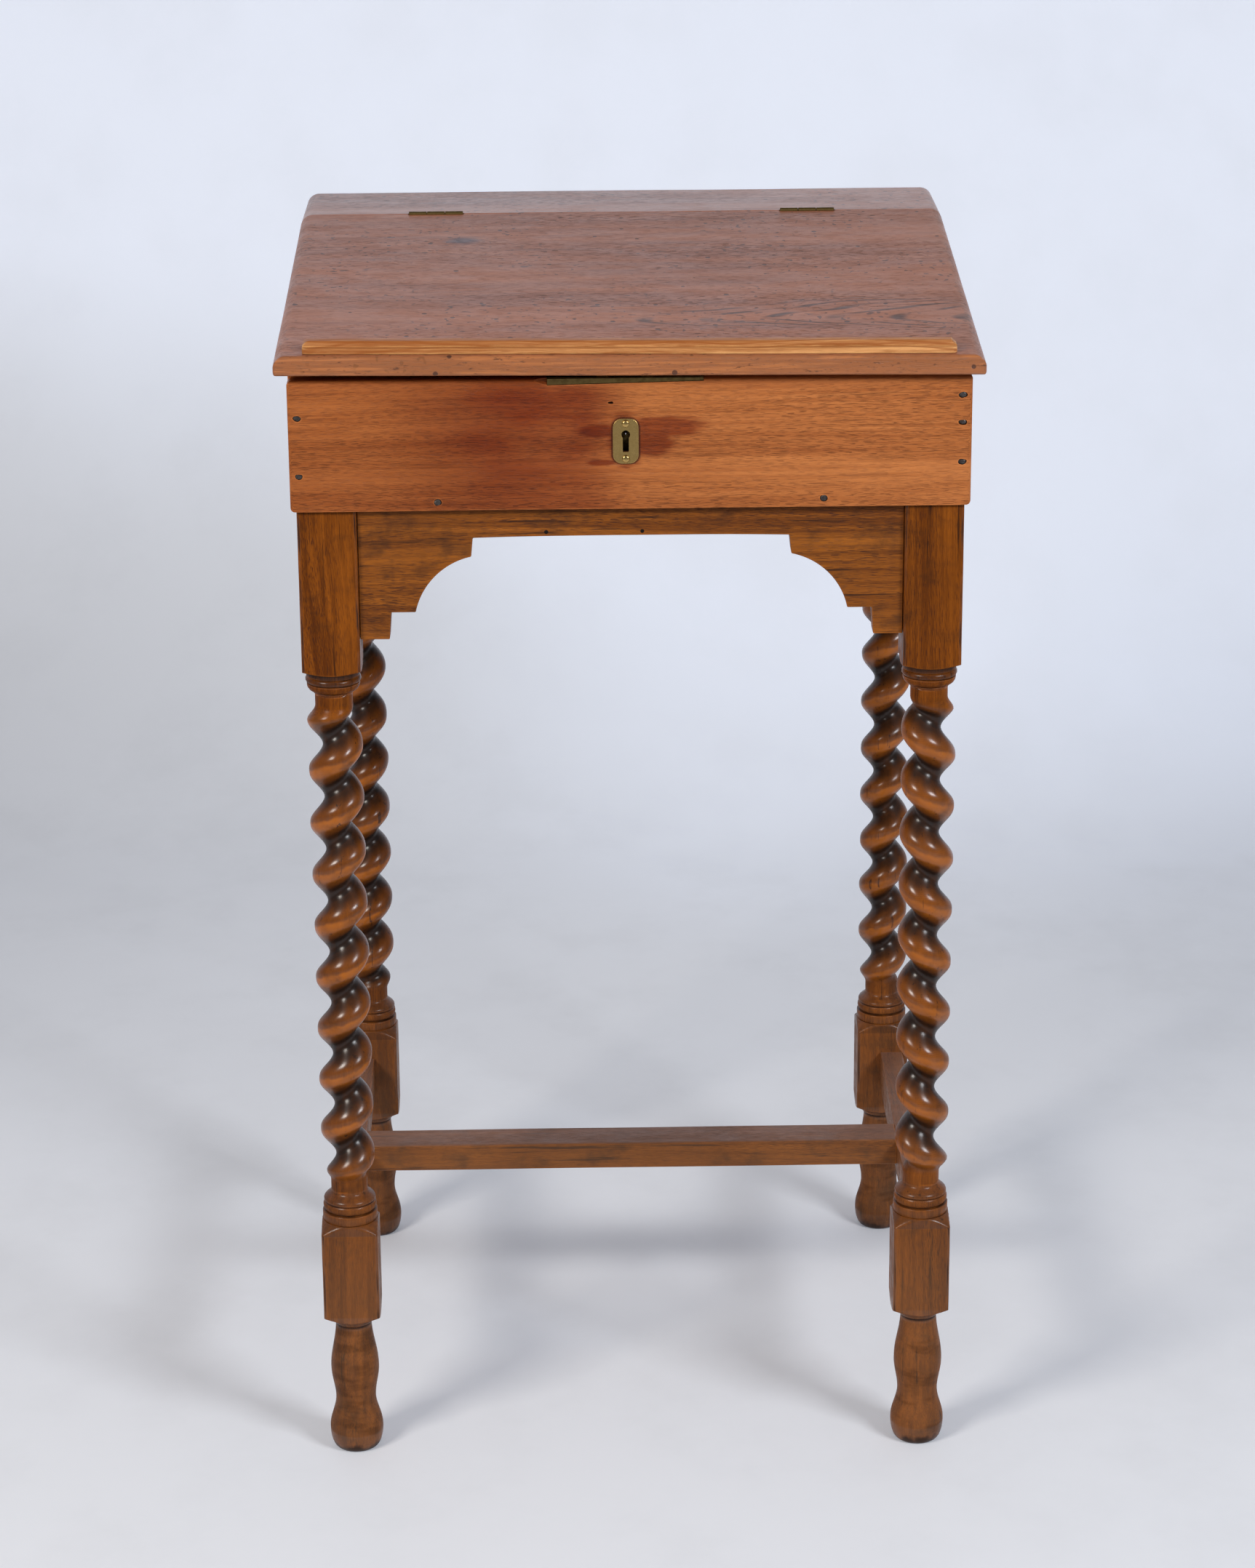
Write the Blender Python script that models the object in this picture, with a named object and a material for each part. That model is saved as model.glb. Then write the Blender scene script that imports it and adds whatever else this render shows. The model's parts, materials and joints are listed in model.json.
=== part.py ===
"""Writing table: a lidded sloping box on a stand with four twist-turned legs.

Lengths are in metres and +Z is up. The front faces -Y, and the origin lies on the floor under the
middle of the top. Each piece is one object, and helper shapes that cut or join are wire objects.
"""

import math

import bmesh
import bpy
from mathutils import Vector

# Clearances
FIT_GAP = 0.0003
CUT_REACH = 0.004
JOIN_OVERLAP = 0.003

# Legs: square blocks, turned collars and a twist between them
LEG_BLOCK = 0.0445
LEG_SPAN_X = 0.4548
LEG_SPAN_Y = 0.4098
LEG_HEIGHT = 0.7885
UPPER_BLOCK_HEIGHT = 0.1260
UPPER_SHOULDER = 0.0036
COLLAR_HEIGHT = 0.0075
COLLAR_RADIUS = 0.0213
OVOLO_HEIGHT = 0.0085
FILLET_HEIGHT = 0.0025
FILLET_RADIUS = 0.0140
NECK_LENGTH = 0.0085
NECK_RADIUS = 0.0132
TWIST_FADE = 0.0135
TWIST_PITCH = 0.0426
TWIST_CREST_RADIUS = 0.0210
TWIST_GROOVE_RADIUS = 0.0104
ROPE_FULLNESS = 0.65
OGEE_HEIGHT = 0.0085
OGEE_RADIUS = 0.0205
QUIRK_HEIGHT = 0.0010
QUIRK_DEPTH = 0.0009
BEAD_HEIGHT = 0.0070
BEAD_RADIUS = 0.0211
LOWER_COLLAR_HEIGHT = 0.0075
LOWER_COLLAR_RADIUS = 0.0217
LOWER_BLOCK_RISE = 0.1225
LOWER_BLOCK_HEIGHT = 0.0715
LOWER_BLOCK_TOP_SHOULDER = 0.0080
LOWER_BLOCK_BASE_SHOULDER = 0.0055
FOOT_RING_HEIGHT = 0.0060
FOOT_RING_RADIUS = 0.0169
FOOT_NECK_RADIUS = 0.0144
FOOT_SWELL_RISE = 0.0705
FOOT_SWELL_RADIUS = 0.0193
FOOT_WAIST_RISE = 0.0437
FOOT_WAIST_RADIUS = 0.0161
FOOT_BALL_RISE = 0.0167
FOOT_BALL_RADIUS = 0.0214
FOOT_RIM_RADIUS = 0.0155
RING_POINTS = 16
TWIST_RINGS_PER_TURN = 8
SHOULDER_STEPS = 3
MOULDING_STEPS = 4

# Name, side in X, side in Y, hand of the twist, and where its crest starts, in degrees from +X
LEGS = (
    ("leg_front_left", -1, -1, 1, -8.0),
    ("leg_front_right", 1, -1, -1, 250.0),
    ("leg_rear_left", -1, 1, 1, 174.0),
    ("leg_rear_right", 1, 1, 1, 302.0),
)

# Aprons: shaped boards tenoned between the upper blocks
APRON_THICKNESS = 0.0190
APRON_SETBACK = 0.0040
APRON_MIDDLE_DEPTH = 0.0235
APRON_BEAK_DEPTH = 0.0380
APRON_STEP_DEPTH = 0.0805
APRON_END_DEPTH = 0.1015
APRON_END_WIDTH = 0.0236
APRON_STEP_WIDTH = 0.0185
SCALLOP_STEPS = 8
TENON_THICKNESS = 0.0080
APRON_TENON_LENGTH = 0.0180
APRON_TENON_TOP_SHOULDER = 0.0120
APRON_TENON_BASE_SHOULDER = 0.0100

# Stretchers: two sides and one across
STRETCHER_TOP = 0.1760
SIDE_STRETCHER_HEIGHT = 0.0320
SIDE_STRETCHER_THICKNESS = 0.0200
SIDE_STRETCHER_SETBACK = 0.0045
SIDE_TENON_LENGTH = 0.0160
SIDE_TENON_SHOULDER = 0.0050
CROSS_STRETCHER_HEIGHT = 0.0227
CROSS_STRETCHER_DEPTH = 0.0337
CROSS_STRETCHER_BEHIND_MIDDLE = 0.0065
CROSS_TENON_LENGTH = 0.0110
CROSS_TENON_SHOULDER = 0.0055

# Box: nailed boards, with the lid and a fixed ledge on top
BOX_PROUD = 0.0040
BOARD_THICKNESS = 0.0160
BOTTOM_THICKNESS = 0.0130
FRONT_BOARD_HEIGHT = 0.0997
FRONT_ARRIS_RADIUS = 0.0040
ARRIS_STEPS = 3
LID_FRONT_GAP = 0.0026
LID_SLOPE = math.radians(5.56)
TOP_THICKNESS = 0.0150
TOP_SIDE_OVERHANG = 0.0091
LID_FRONT_OVERHANG = 0.0112
LEDGE_BACK_OVERHANG = 0.0025
LEDGE_DEPTH = 0.0968
LID_JOINT = 0.0010
LID_WIND = 0.0046
TOP_EDGE_ROUND = 0.0100
TOP_UNDER_ROUND = 0.0025
TOP_EDGE_STEPS = 5
LID_STRIPS = 6

# Pen rest: a moulded strip along the front of the lid
PEN_REST_LENGTH = 0.4820
PEN_REST_SETBACK = 0.0050
PEN_REST_DEPTH = 0.0150
PEN_REST_HEIGHT = 0.0080
PEN_REST_LIP_DEPTH = 0.0045
PEN_REST_LIP_HEIGHT = 0.0040
PEN_REST_ROUND = 0.0030
PEN_REST_STEPS = 3

# Nails: square heads on tapered shanks
NAIL_LENGTH = 0.0380
NAIL_HEAD = 0.0048
NAIL_HEAD_THICKNESS = 0.0012
NAIL_SHANK = 0.0028
NAIL_TIP = 0.0012
NAIL_FROM_END = 0.0070
NAIL_SUNK = 0.0002
LEFT_NAIL_HEIGHTS = (0.0272, 0.0715)
RIGHT_NAIL_HEIGHTS = (0.0331, 0.0634, 0.0843)
BACK_NAIL_HEIGHTS = (0.0300, 0.1050)
BOTTOM_NAIL_SPAN = 0.2880

# Butt hinges between the lid and the ledge
HINGE_LENGTH = 0.0445
HINGE_SPAN = 0.3040
KNUCKLE_RADIUS = 0.0022
HINGE_PIN_RADIUS = 0.0008
LEAF_THICKNESS = 0.0014
LEAF_HEIGHT = 0.0125
KNUCKLE_POINTS = 12
LEAF_SCREW_SPAN = 0.0280
LEAF_SCREW_DROP = 0.0080

# Countersunk screws
SCREW_HEAD_RADIUS = 0.0024
SCREW_SHANK_RADIUS = 0.0012
SCREW_HEAD_HEIGHT = 0.0013
SCREW_LENGTH = 0.0110
SCREW_POINTS = 8

# Box lock in the front board, with its link plate under the lid
LOCK_OFFSET_X = -0.0035
SELVEDGE_LENGTH = 0.1160
SELVEDGE_WIDTH = 0.0125
SELVEDGE_THICKNESS = 0.0018
LOCK_WIDTH = 0.0640
LOCK_HEIGHT = 0.0630
LOCK_DEPTH = 0.0110
LOCK_PLATE_THICKNESS = 0.0014
LOCK_PLATE_SUNK = 0.0002
LOCK_WALL = 0.0012
SELVEDGE_SCREW_SPAN = 0.1000
STAPLE_SPAN = 0.0340
STAPLE_WIDTH = 0.0080
STAPLE_DEPTH = 0.0054
STAPLE_WALL = 0.0012
STAPLE_DROP = 0.0095
STAPLE_FROM_INSIDE = 0.0024
STAPLE_SWING_ROOM = 0.0022
STAPLE_SIDE_ROOM = 0.0006
BOLT_TRAVEL = 0.0040
BOLT_BAR_HEIGHT = 0.0070
BOLT_BAR_DROP = 0.0260
BOLT_BAR_LENGTH = 0.0520
BOLT_FINGER_LENGTH = 0.0050
BOLT_FINGER_HEIGHT = 0.0028
BOLT_FINGER_DROP = 0.0045
BOLT_FINGER_THICKNESS = 0.0020
BOLT_UPRIGHT_WIDTH = 0.0026
LINK_PLATE_LENGTH = 0.0640
LINK_PLATE_WIDTH = 0.0120
LINK_PLATE_THICKNESS = 0.0015
LINK_SCREW_SPAN = 0.0520

# Keyhole and its escutcheon
KEYHOLE_DROP = 0.0426
KEYHOLE_RADIUS = 0.0033
KEYHOLE_SLOT_WIDTH = 0.0046
KEYHOLE_SLOT_LENGTH = 0.0133
DRILL_PIN_RADIUS = 0.0015
DRILL_PIN_SETBACK = 0.0020
ESCUTCHEON_WIDTH = 0.0194
ESCUTCHEON_HEIGHT = 0.0344
ESCUTCHEON_THICKNESS = 0.0012
ESCUTCHEON_CORNER = 0.0070
ESCUTCHEON_RISE = 0.0521
ESCUTCHEON_PIN_SPAN = 0.0268
PIN_HEAD_RADIUS = 0.0028
PIN_HEAD_HEIGHT = 0.0014
PIN_SHANK_RADIUS = 0.0009
PIN_LENGTH = 0.0030
CORNER_STEPS = 4
ROUND_POINTS = 12

# Plan of the stand and the box
LEG_HALF = LEG_BLOCK / 2
BOX_WIDTH = LEG_SPAN_X + LEG_BLOCK + 2 * BOX_PROUD
BOX_DEPTH = LEG_SPAN_Y + LEG_BLOCK + 2 * BOX_PROUD
TOP_WIDTH = BOX_WIDTH + 2 * TOP_SIDE_OVERHANG
TOP_DEPTH = BOX_DEPTH + LID_FRONT_OVERHANG + LEDGE_BACK_OVERHANG
TOP_FRONT = -TOP_DEPTH / 2
BOX_FRONT = TOP_FRONT + LID_FRONT_OVERHANG
BOX_BACK = BOX_FRONT + BOX_DEPTH
INNER_FRONT = BOX_FRONT + BOARD_THICKNESS
INNER_BACK = BOX_BACK - BOARD_THICKNESS
FRONT_LEG_Y = BOX_FRONT + BOX_PROUD + LEG_HALF
STAND_MIDDLE_Y = FRONT_LEG_Y + LEG_SPAN_Y / 2
HINGE_Y = TOP_DEPTH / 2 - LEDGE_DEPTH

# Heights of the box and the top
BOX_BASE = LEG_HEIGHT + FIT_GAP
FRONT_BOARD_TOP = BOX_BASE + FRONT_BOARD_HEIGHT
LID_UNDER_FRONT = FRONT_BOARD_TOP + LID_FRONT_GAP
LID_RISE = (HINGE_Y - BOX_FRONT) * math.tan(LID_SLOPE)
LEDGE_UNDER = LID_UNDER_FRONT + LID_RISE + TOP_THICKNESS / math.cos(LID_SLOPE) - TOP_THICKNESS
TOP_HEIGHT = LEDGE_UNDER + TOP_THICKNESS

# Places in the lock, measured from the inside of the front board and from its top
CASE_BACK = INNER_FRONT - LOCK_PLATE_SUNK - LOCK_PLATE_THICKNESS - FIT_GAP
CASE_FRONT = INNER_FRONT - LOCK_DEPTH
CASE_TOP = FRONT_BOARD_TOP - SELVEDGE_THICKNESS - FIT_GAP
CASE_BASE = FRONT_BOARD_TOP - LOCK_HEIGHT
STAPLE_BACK = INNER_FRONT - STAPLE_FROM_INSIDE
STAPLE_MIDDLE = STAPLE_BACK - STAPLE_DEPTH / 2
KEYHOLE_Z = FRONT_BOARD_TOP - KEYHOLE_DROP
ESCUTCHEON_Z = BOX_BASE + ESCUTCHEON_RISE

# Colour, roughness and metallic value of each finish
FINISHES = {
    "leg_oak": ((0.26, 0.105, 0.032), 0.30, 0.0),
    "rail_oak": ((0.24, 0.105, 0.038), 0.42, 0.0),
    "box_wood": ((0.36, 0.125, 0.042), 0.42, 0.0),
    "top_wood": ((0.27, 0.135, 0.090), 0.40, 0.0),
    "pine": ((0.50, 0.235, 0.060), 0.40, 0.0),
    "brass": ((0.52, 0.41, 0.17), 0.32, 1.0),
    "iron": ((0.10, 0.085, 0.080), 0.60, 0.8),
}


def make_finish(name):
    colour, roughness, metallic = FINISHES[name]
    material = bpy.data.materials.new(name)
    material.use_nodes = True
    shader = material.node_tree.nodes["Principled BSDF"]
    shader.inputs["Base Color"].default_value = (*colour, 1.0)
    shader.inputs["Roughness"].default_value = roughness
    shader.inputs["Metallic"].default_value = metallic
    return material


class Workshop:
    """Makes objects: pieces that are kept, and wire helpers that cut them or join them."""

    def __init__(self):
        for old in list(bpy.data.objects):
            bpy.data.objects.remove(old, do_unlink=True)
        self.collection = bpy.context.scene.collection
        self.materials = {name: make_finish(name) for name in FINISHES}
        self.table = self.empty("table", Vector())
        self.lid_pivot = self.empty("lid_pivot", Vector((0, HINGE_Y, TOP_HEIGHT)), self.table)

    def empty(self, name, place, parent=None):
        holder = bpy.data.objects.new(name, None)
        holder.location = place
        holder.parent = parent
        self.collection.objects.link(holder)
        return holder

    def mesh_of(self, name, shapes, origin):
        build = bmesh.new()
        for rings in shapes:
            loft(build, [[point - origin for point in ring] for ring in rings])
        bmesh.ops.recalc_face_normals(build, faces=build.faces)
        mesh = bpy.data.meshes.new(name)
        build.to_mesh(mesh)
        build.free()
        return mesh

    def piece(self, name, shape, finish, origin, holder=None, smooth=False):
        """One kept solid, lofted through the rings of its shape, with its origin at the given point."""
        holder = holder or self.table
        mesh = self.mesh_of(name, [shape], origin)
        mesh.materials.append(self.materials[finish])
        if smooth:
            mesh.shade_smooth()
            mesh.set_sharp_from_angle(angle=math.radians(40))
        made = bpy.data.objects.new(name, mesh)
        made.parent = holder
        made.location = origin - holder.location
        self.collection.objects.link(made)
        return made

    def boolean(self, target, operation, name, shapes):
        origin = target.location + target.parent.location
        helper = bpy.data.objects.new(f"{target.name}_{name}", self.mesh_of(name, shapes, origin))
        helper.parent = target
        helper.hide_render = True
        helper.display_type = "WIRE"
        self.collection.objects.link(helper)
        modifier = target.modifiers.new(name, "BOOLEAN")
        modifier.operation = operation
        modifier.solver = "EXACT"
        modifier.object = helper

    def cut(self, target, name, shapes):
        self.boolean(target, "DIFFERENCE", name, shapes)

    def join(self, target, name, shapes):
        self.boolean(target, "UNION", name, shapes)


def loft(build, rings):
    """Closed skin through rings of equal count, with a flat cap at each end."""
    loops = [[build.verts.new(point) for point in ring] for ring in rings]
    for first, second in zip(loops, loops[1:]):
        for here in range(len(first)):
            after = (here + 1) % len(first)
            build.faces.new((first[here], first[after], second[after], second[here]))
    build.faces.new(loops[0][::-1])
    build.faces.new(loops[-1])


def prism(outline, axis, low, high):
    """Outline in the plane across an axis, drawn out along it."""
    along = "XYZ".index(axis)

    def at(level):
        ring = []
        for first, second in outline:
            point = [first, second]
            point.insert(along, level)
            ring.append(Vector(point))
        return ring

    return [at(low), at(high)]


def rectangle(low_a, high_a, low_b, high_b):
    return [(low_a, low_b), (high_a, low_b), (high_a, high_b), (low_a, high_b)]


def block(low, high):
    return prism(rectangle(low[0], high[0], low[1], high[1]), "Z", low[2], high[2])


def arc(centre_a, centre_b, radius, start, end, steps):
    """Points along an arc, with its angles in degrees."""
    points = []
    for step in range(steps + 1):
        angle = math.radians(start + (end - start) * step / steps)
        points.append((centre_a + radius * math.cos(angle), centre_b + radius * math.sin(angle)))
    return points


def circle(centre_a, centre_b, radius, points):
    return arc(centre_a, centre_b, radius, 0, 360, points)[:-1]


def turned(centre, direction, stations, points):
    """Round solid about a line: each station is a distance along the line and a radius."""
    direction = direction.normalized()
    side = direction.orthogonal().normalized()
    other = direction.cross(side)
    rings = []
    for distance, radius in stations:
        middle = centre + direction * distance
        rings.append([middle + side * a + other * b for a, b in circle(0, 0, radius, points)])
    return rings


def grown(stations, gap):
    """Stations of a round cutter that clears a turned piece all over."""
    wider = [(distance, radius + gap) for distance, radius in stations]
    wider[0] = (wider[0][0] - CUT_REACH, wider[0][1])
    wider[-1] = (wider[-1][0] + gap, wider[-1][1])
    return wider


# Legs


def swell(z_from, r_from, z_to, r_to):
    """S curve between two turned diameters."""
    points = []
    for step in range(1, MOULDING_STEPS + 1):
        part = step / MOULDING_STEPS
        ease = (1 - math.cos(math.pi * part)) / 2
        points.append((z_from + (z_to - z_from) * part, r_from + (r_to - r_from) * ease))
    return points


def quarter_round(z_from, r_from, z_to, r_to):
    """Convex quarter that leaves its start along the leg."""
    points = []
    for step in range(1, MOULDING_STEPS + 1):
        angle = math.pi / 2 * step / MOULDING_STEPS
        level = z_from + (z_to - z_from) * math.sin(angle)
        points.append((level, r_to + (r_from - r_to) * math.cos(angle)))
    return points


def bead(z_from, z_to, base, crown):
    points = []
    for step in range(MOULDING_STEPS + 1):
        part = step / MOULDING_STEPS
        points.append((z_from + (z_to - z_from) * part, base + (crown - base) * math.sin(math.pi * part)))
    return points


def shoulder(z_from, r_from, z_to, r_to):
    steps = range(SHOULDER_STEPS + 1)
    return [
        (z_from + (z_to - z_from) * step / SHOULDER_STEPS, r_from + (r_to - r_from) * step / SHOULDER_STEPS)
        for step in steps
    ]


def upper_profile():
    """Block, shoulder and collar above the twist, as heights and radii."""
    corner = LEG_HALF * math.sqrt(2)
    points = [(LEG_HEIGHT, corner)]
    level = LEG_HEIGHT - UPPER_BLOCK_HEIGHT
    points += shoulder(level, corner, level - UPPER_SHOULDER, LEG_HALF)
    level -= UPPER_SHOULDER
    points += [(level, COLLAR_RADIUS), (level - COLLAR_HEIGHT, COLLAR_RADIUS)]
    level -= COLLAR_HEIGHT
    points += quarter_round(level, COLLAR_RADIUS, level - OVOLO_HEIGHT, FILLET_RADIUS)
    level -= OVOLO_HEIGHT
    points.append((level - FILLET_HEIGHT, FILLET_RADIUS))
    return points


def lower_profile():
    """Collar, lower block and foot below the twist, as heights and radii."""
    corner = LEG_HALF * math.sqrt(2)
    block_top = LOWER_BLOCK_RISE + LOWER_BLOCK_HEIGHT
    collar_base = block_top + LOWER_BLOCK_TOP_SHOULDER
    collar_top = collar_base + LOWER_COLLAR_HEIGHT
    bead_base = collar_top + QUIRK_HEIGHT
    bead_top = bead_base + BEAD_HEIGHT
    ogee_base = bead_top + QUIRK_HEIGHT
    points = [(ogee_base + OGEE_HEIGHT, NECK_RADIUS)]
    points += swell(ogee_base + OGEE_HEIGHT, NECK_RADIUS, ogee_base, OGEE_RADIUS)
    points += bead(bead_top, bead_base, OGEE_RADIUS - QUIRK_DEPTH, BEAD_RADIUS)
    points += [(collar_top, LOWER_COLLAR_RADIUS), (collar_base, LOWER_COLLAR_RADIUS)]
    points += shoulder(collar_base, LEG_HALF, block_top, corner)
    neck_top = LOWER_BLOCK_RISE - LOWER_BLOCK_BASE_SHOULDER
    points += shoulder(LOWER_BLOCK_RISE, corner, neck_top, LEG_HALF)
    points += [(neck_top, FOOT_RING_RADIUS)]
    points += quarter_round(neck_top, FOOT_RING_RADIUS, neck_top - FOOT_RING_HEIGHT, FOOT_NECK_RADIUS)
    points += swell(neck_top - FOOT_RING_HEIGHT, FOOT_NECK_RADIUS, FOOT_SWELL_RISE, FOOT_SWELL_RADIUS)
    points += swell(FOOT_SWELL_RISE, FOOT_SWELL_RADIUS, FOOT_WAIST_RISE, FOOT_WAIST_RADIUS)
    points += swell(FOOT_WAIST_RISE, FOOT_WAIST_RADIUS, FOOT_BALL_RISE, FOOT_BALL_RADIUS)
    points += quarter_round(FOOT_BALL_RISE, FOOT_BALL_RADIUS, 0, FOOT_RIM_RADIUS)
    return points


def leg_ring(level, turn, radius_at):
    """One cross-section of a leg: the square of its block, cut back to the turned radius."""
    ring = []
    for step in range(RING_POINTS):
        angle = 2 * math.pi * step / RING_POINTS + turn
        across = max(abs(math.cos(angle)), abs(math.sin(angle)))
        radius = min(LEG_HALF / across, radius_at(angle))
        ring.append(Vector((radius * math.cos(angle), radius * math.sin(angle), level)))
    return ring


def twist_strength(from_top, from_base):
    """How far the twist is cut at a place: nothing at the necks, rising to its full depth."""
    part = (min(from_top, from_base) - NECK_LENGTH) / TWIST_FADE
    part = min(max(part, 0), 1)
    return part * part * (3 - 2 * part)


def leg_shape(hand, start_degrees):
    above = upper_profile()
    below = lower_profile()
    rings = [leg_ring(level, 0, lambda angle, r=radius: r) for level, radius in above]
    top = above[-1][0]
    base = below[0][0]
    turns = round((top - base) / TWIST_PITCH * RING_POINTS) / RING_POINTS
    steps = round(turns * TWIST_RINGS_PER_TURN)
    step_turn = 2 * math.pi * turns / steps
    for step in range(1, steps):
        level = top + (base - top) * step / steps
        turn = -hand * step_turn * step
        crest = math.radians(start_degrees) + turn
        strength = twist_strength(top - level, level - base)

        def radius_at(angle, crest=crest, strength=strength):
            height = ((1 + math.cos(angle - crest)) / 2) ** ROPE_FULLNESS
            rope = TWIST_GROOVE_RADIUS + (TWIST_CREST_RADIUS - TWIST_GROOVE_RADIUS) * height
            return NECK_RADIUS + strength * (rope - NECK_RADIUS)

        rings.append(leg_ring(level, turn, radius_at))
    turn = -hand * step_turn * steps
    rings += [leg_ring(level, turn, lambda angle, r=radius: r) for level, radius in below]
    return rings


def around_leg(rings, place):
    return [[point + place for point in ring] for ring in rings]


def make_legs(shop):
    for name, side_x, side_y, hand, start in LEGS:
        place = Vector((side_x * LEG_SPAN_X / 2, STAND_MIDDLE_Y + side_y * LEG_SPAN_Y / 2, 0))
        leg = shop.piece(name, around_leg(leg_shape(hand, start), place), "leg_oak", place, smooth=True)
        triangulate(leg.data)
        mortises = [
            apron_tenon("X", side_y, side_x, FIT_GAP),
            apron_tenon("Y", side_x, side_y, FIT_GAP),
            side_tenon(side_x, side_y, FIT_GAP),
        ]
        shop.cut(leg, "mortises", mortises)


# Aprons and stretchers


def apron_face(axis, side):
    """Outer and inner plane of an apron, across its length."""
    middle = STAND_MIDDLE_Y if axis == "X" else 0
    span = LEG_SPAN_Y if axis == "X" else LEG_SPAN_X
    outer = middle + side * (span / 2 + LEG_HALF - APRON_SETBACK)
    return outer, outer - side * APRON_THICKNESS


def apron_reach(axis):
    """Middle and half length of an apron, between the faces of its legs."""
    if axis == "X":
        return 0, LEG_SPAN_X / 2 - LEG_HALF - FIT_GAP
    return STAND_MIDDLE_Y, LEG_SPAN_Y / 2 - LEG_HALF - FIT_GAP


def across(axis, low_along, high_along, low_over, high_over, low_z, high_z):
    """Block with its length along an axis in plan."""
    if axis == "X":
        return block((low_along, low_over, low_z), (high_along, high_over, high_z))
    return block((low_over, low_along, low_z), (high_over, high_along, high_z))


def apron_tenon(axis, side, end, gap):
    """Tenon of an apron at one of its ends, grown by a gap for its mortise."""
    outer, inner = apron_face(axis, side)
    over = (outer + inner) / 2
    middle, half = apron_reach(axis)
    root = middle + end * (half - JOIN_OVERLAP)
    tip = middle + end * (half + FIT_GAP + APRON_TENON_LENGTH + gap)
    low, high = min(root, tip), max(root, tip)
    half_thickness = TENON_THICKNESS / 2 + gap
    return across(
        axis,
        low,
        high,
        over - half_thickness,
        over + half_thickness,
        LEG_HEIGHT - APRON_END_DEPTH + APRON_TENON_BASE_SHOULDER - gap,
        LEG_HEIGHT - APRON_TENON_TOP_SHOULDER + gap,
    )


def apron_outline(axis):
    """Shaped board: deep at its ends, stepped and scalloped up to a shallow middle."""
    middle, half = apron_reach(axis)
    scallop = APRON_STEP_DEPTH - APRON_BEAK_DEPTH
    step_at = half - APRON_END_WIDTH
    curve_at = step_at - APRON_STEP_WIDTH
    right = [
        (half, LEG_HEIGHT),
        (half, LEG_HEIGHT - APRON_END_DEPTH),
        (step_at, LEG_HEIGHT - APRON_END_DEPTH),
        (step_at, LEG_HEIGHT - APRON_STEP_DEPTH),
    ]
    right += arc(curve_at - scallop, LEG_HEIGHT - APRON_STEP_DEPTH, scallop, 0, 90, SCALLOP_STEPS)
    right.append((curve_at - scallop, LEG_HEIGHT - APRON_MIDDLE_DEPTH))
    left = [(-along, level) for along, level in reversed(right)]
    return [(middle + along, level) for along, level in right + left]


def make_aprons(shop):
    for name, axis, side in (
        ("apron_front", "X", -1),
        ("apron_rear", "X", 1),
        ("apron_left", "Y", -1),
        ("apron_right", "Y", 1),
    ):
        outer, inner = apron_face(axis, side)
        cross = "Y" if axis == "X" else "X"
        shape = prism(apron_outline(axis), cross, min(outer, inner), max(outer, inner))
        origin = Vector((0, outer, LEG_HEIGHT)) if axis == "X" else Vector((outer, STAND_MIDDLE_Y, LEG_HEIGHT))
        apron = shop.piece(name, shape, "rail_oak", origin)
        shop.join(apron, "tenons", [apron_tenon(axis, side, end, 0) for end in (-1, 1)])


def side_stretcher_faces(side):
    outer = side * (LEG_SPAN_X / 2 + LEG_HALF - SIDE_STRETCHER_SETBACK)
    return outer, outer - side * SIDE_STRETCHER_THICKNESS


def side_tenon(side, end, gap):
    outer, inner = side_stretcher_faces(side)
    over = (outer + inner) / 2
    half_thickness = TENON_THICKNESS / 2 + gap
    middle, half = apron_reach("Y")
    root = middle + end * (half - JOIN_OVERLAP)
    tip = middle + end * (half + FIT_GAP + SIDE_TENON_LENGTH + gap)
    base = STRETCHER_TOP - SIDE_STRETCHER_HEIGHT
    return block(
        (over - half_thickness, min(root, tip), base + SIDE_TENON_SHOULDER - gap),
        (over + half_thickness, max(root, tip), STRETCHER_TOP - SIDE_TENON_SHOULDER + gap),
    )


def cross_tenon(end, gap):
    """Tenon of the cross stretcher, from inside its shoulder to its tip."""
    _, inner = side_stretcher_faces(end)
    middle = STAND_MIDDLE_Y + CROSS_STRETCHER_BEHIND_MIDDLE
    half_depth = CROSS_STRETCHER_DEPTH / 2 - CROSS_TENON_SHOULDER + gap
    root = inner - end * (FIT_GAP + JOIN_OVERLAP)
    tip = inner + end * (CROSS_TENON_LENGTH + gap)
    base = STRETCHER_TOP - CROSS_STRETCHER_HEIGHT
    return block(
        (min(root, tip), middle - half_depth, base + CROSS_TENON_SHOULDER - gap),
        (max(root, tip), middle + half_depth, STRETCHER_TOP - CROSS_TENON_SHOULDER + gap),
    )


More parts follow.
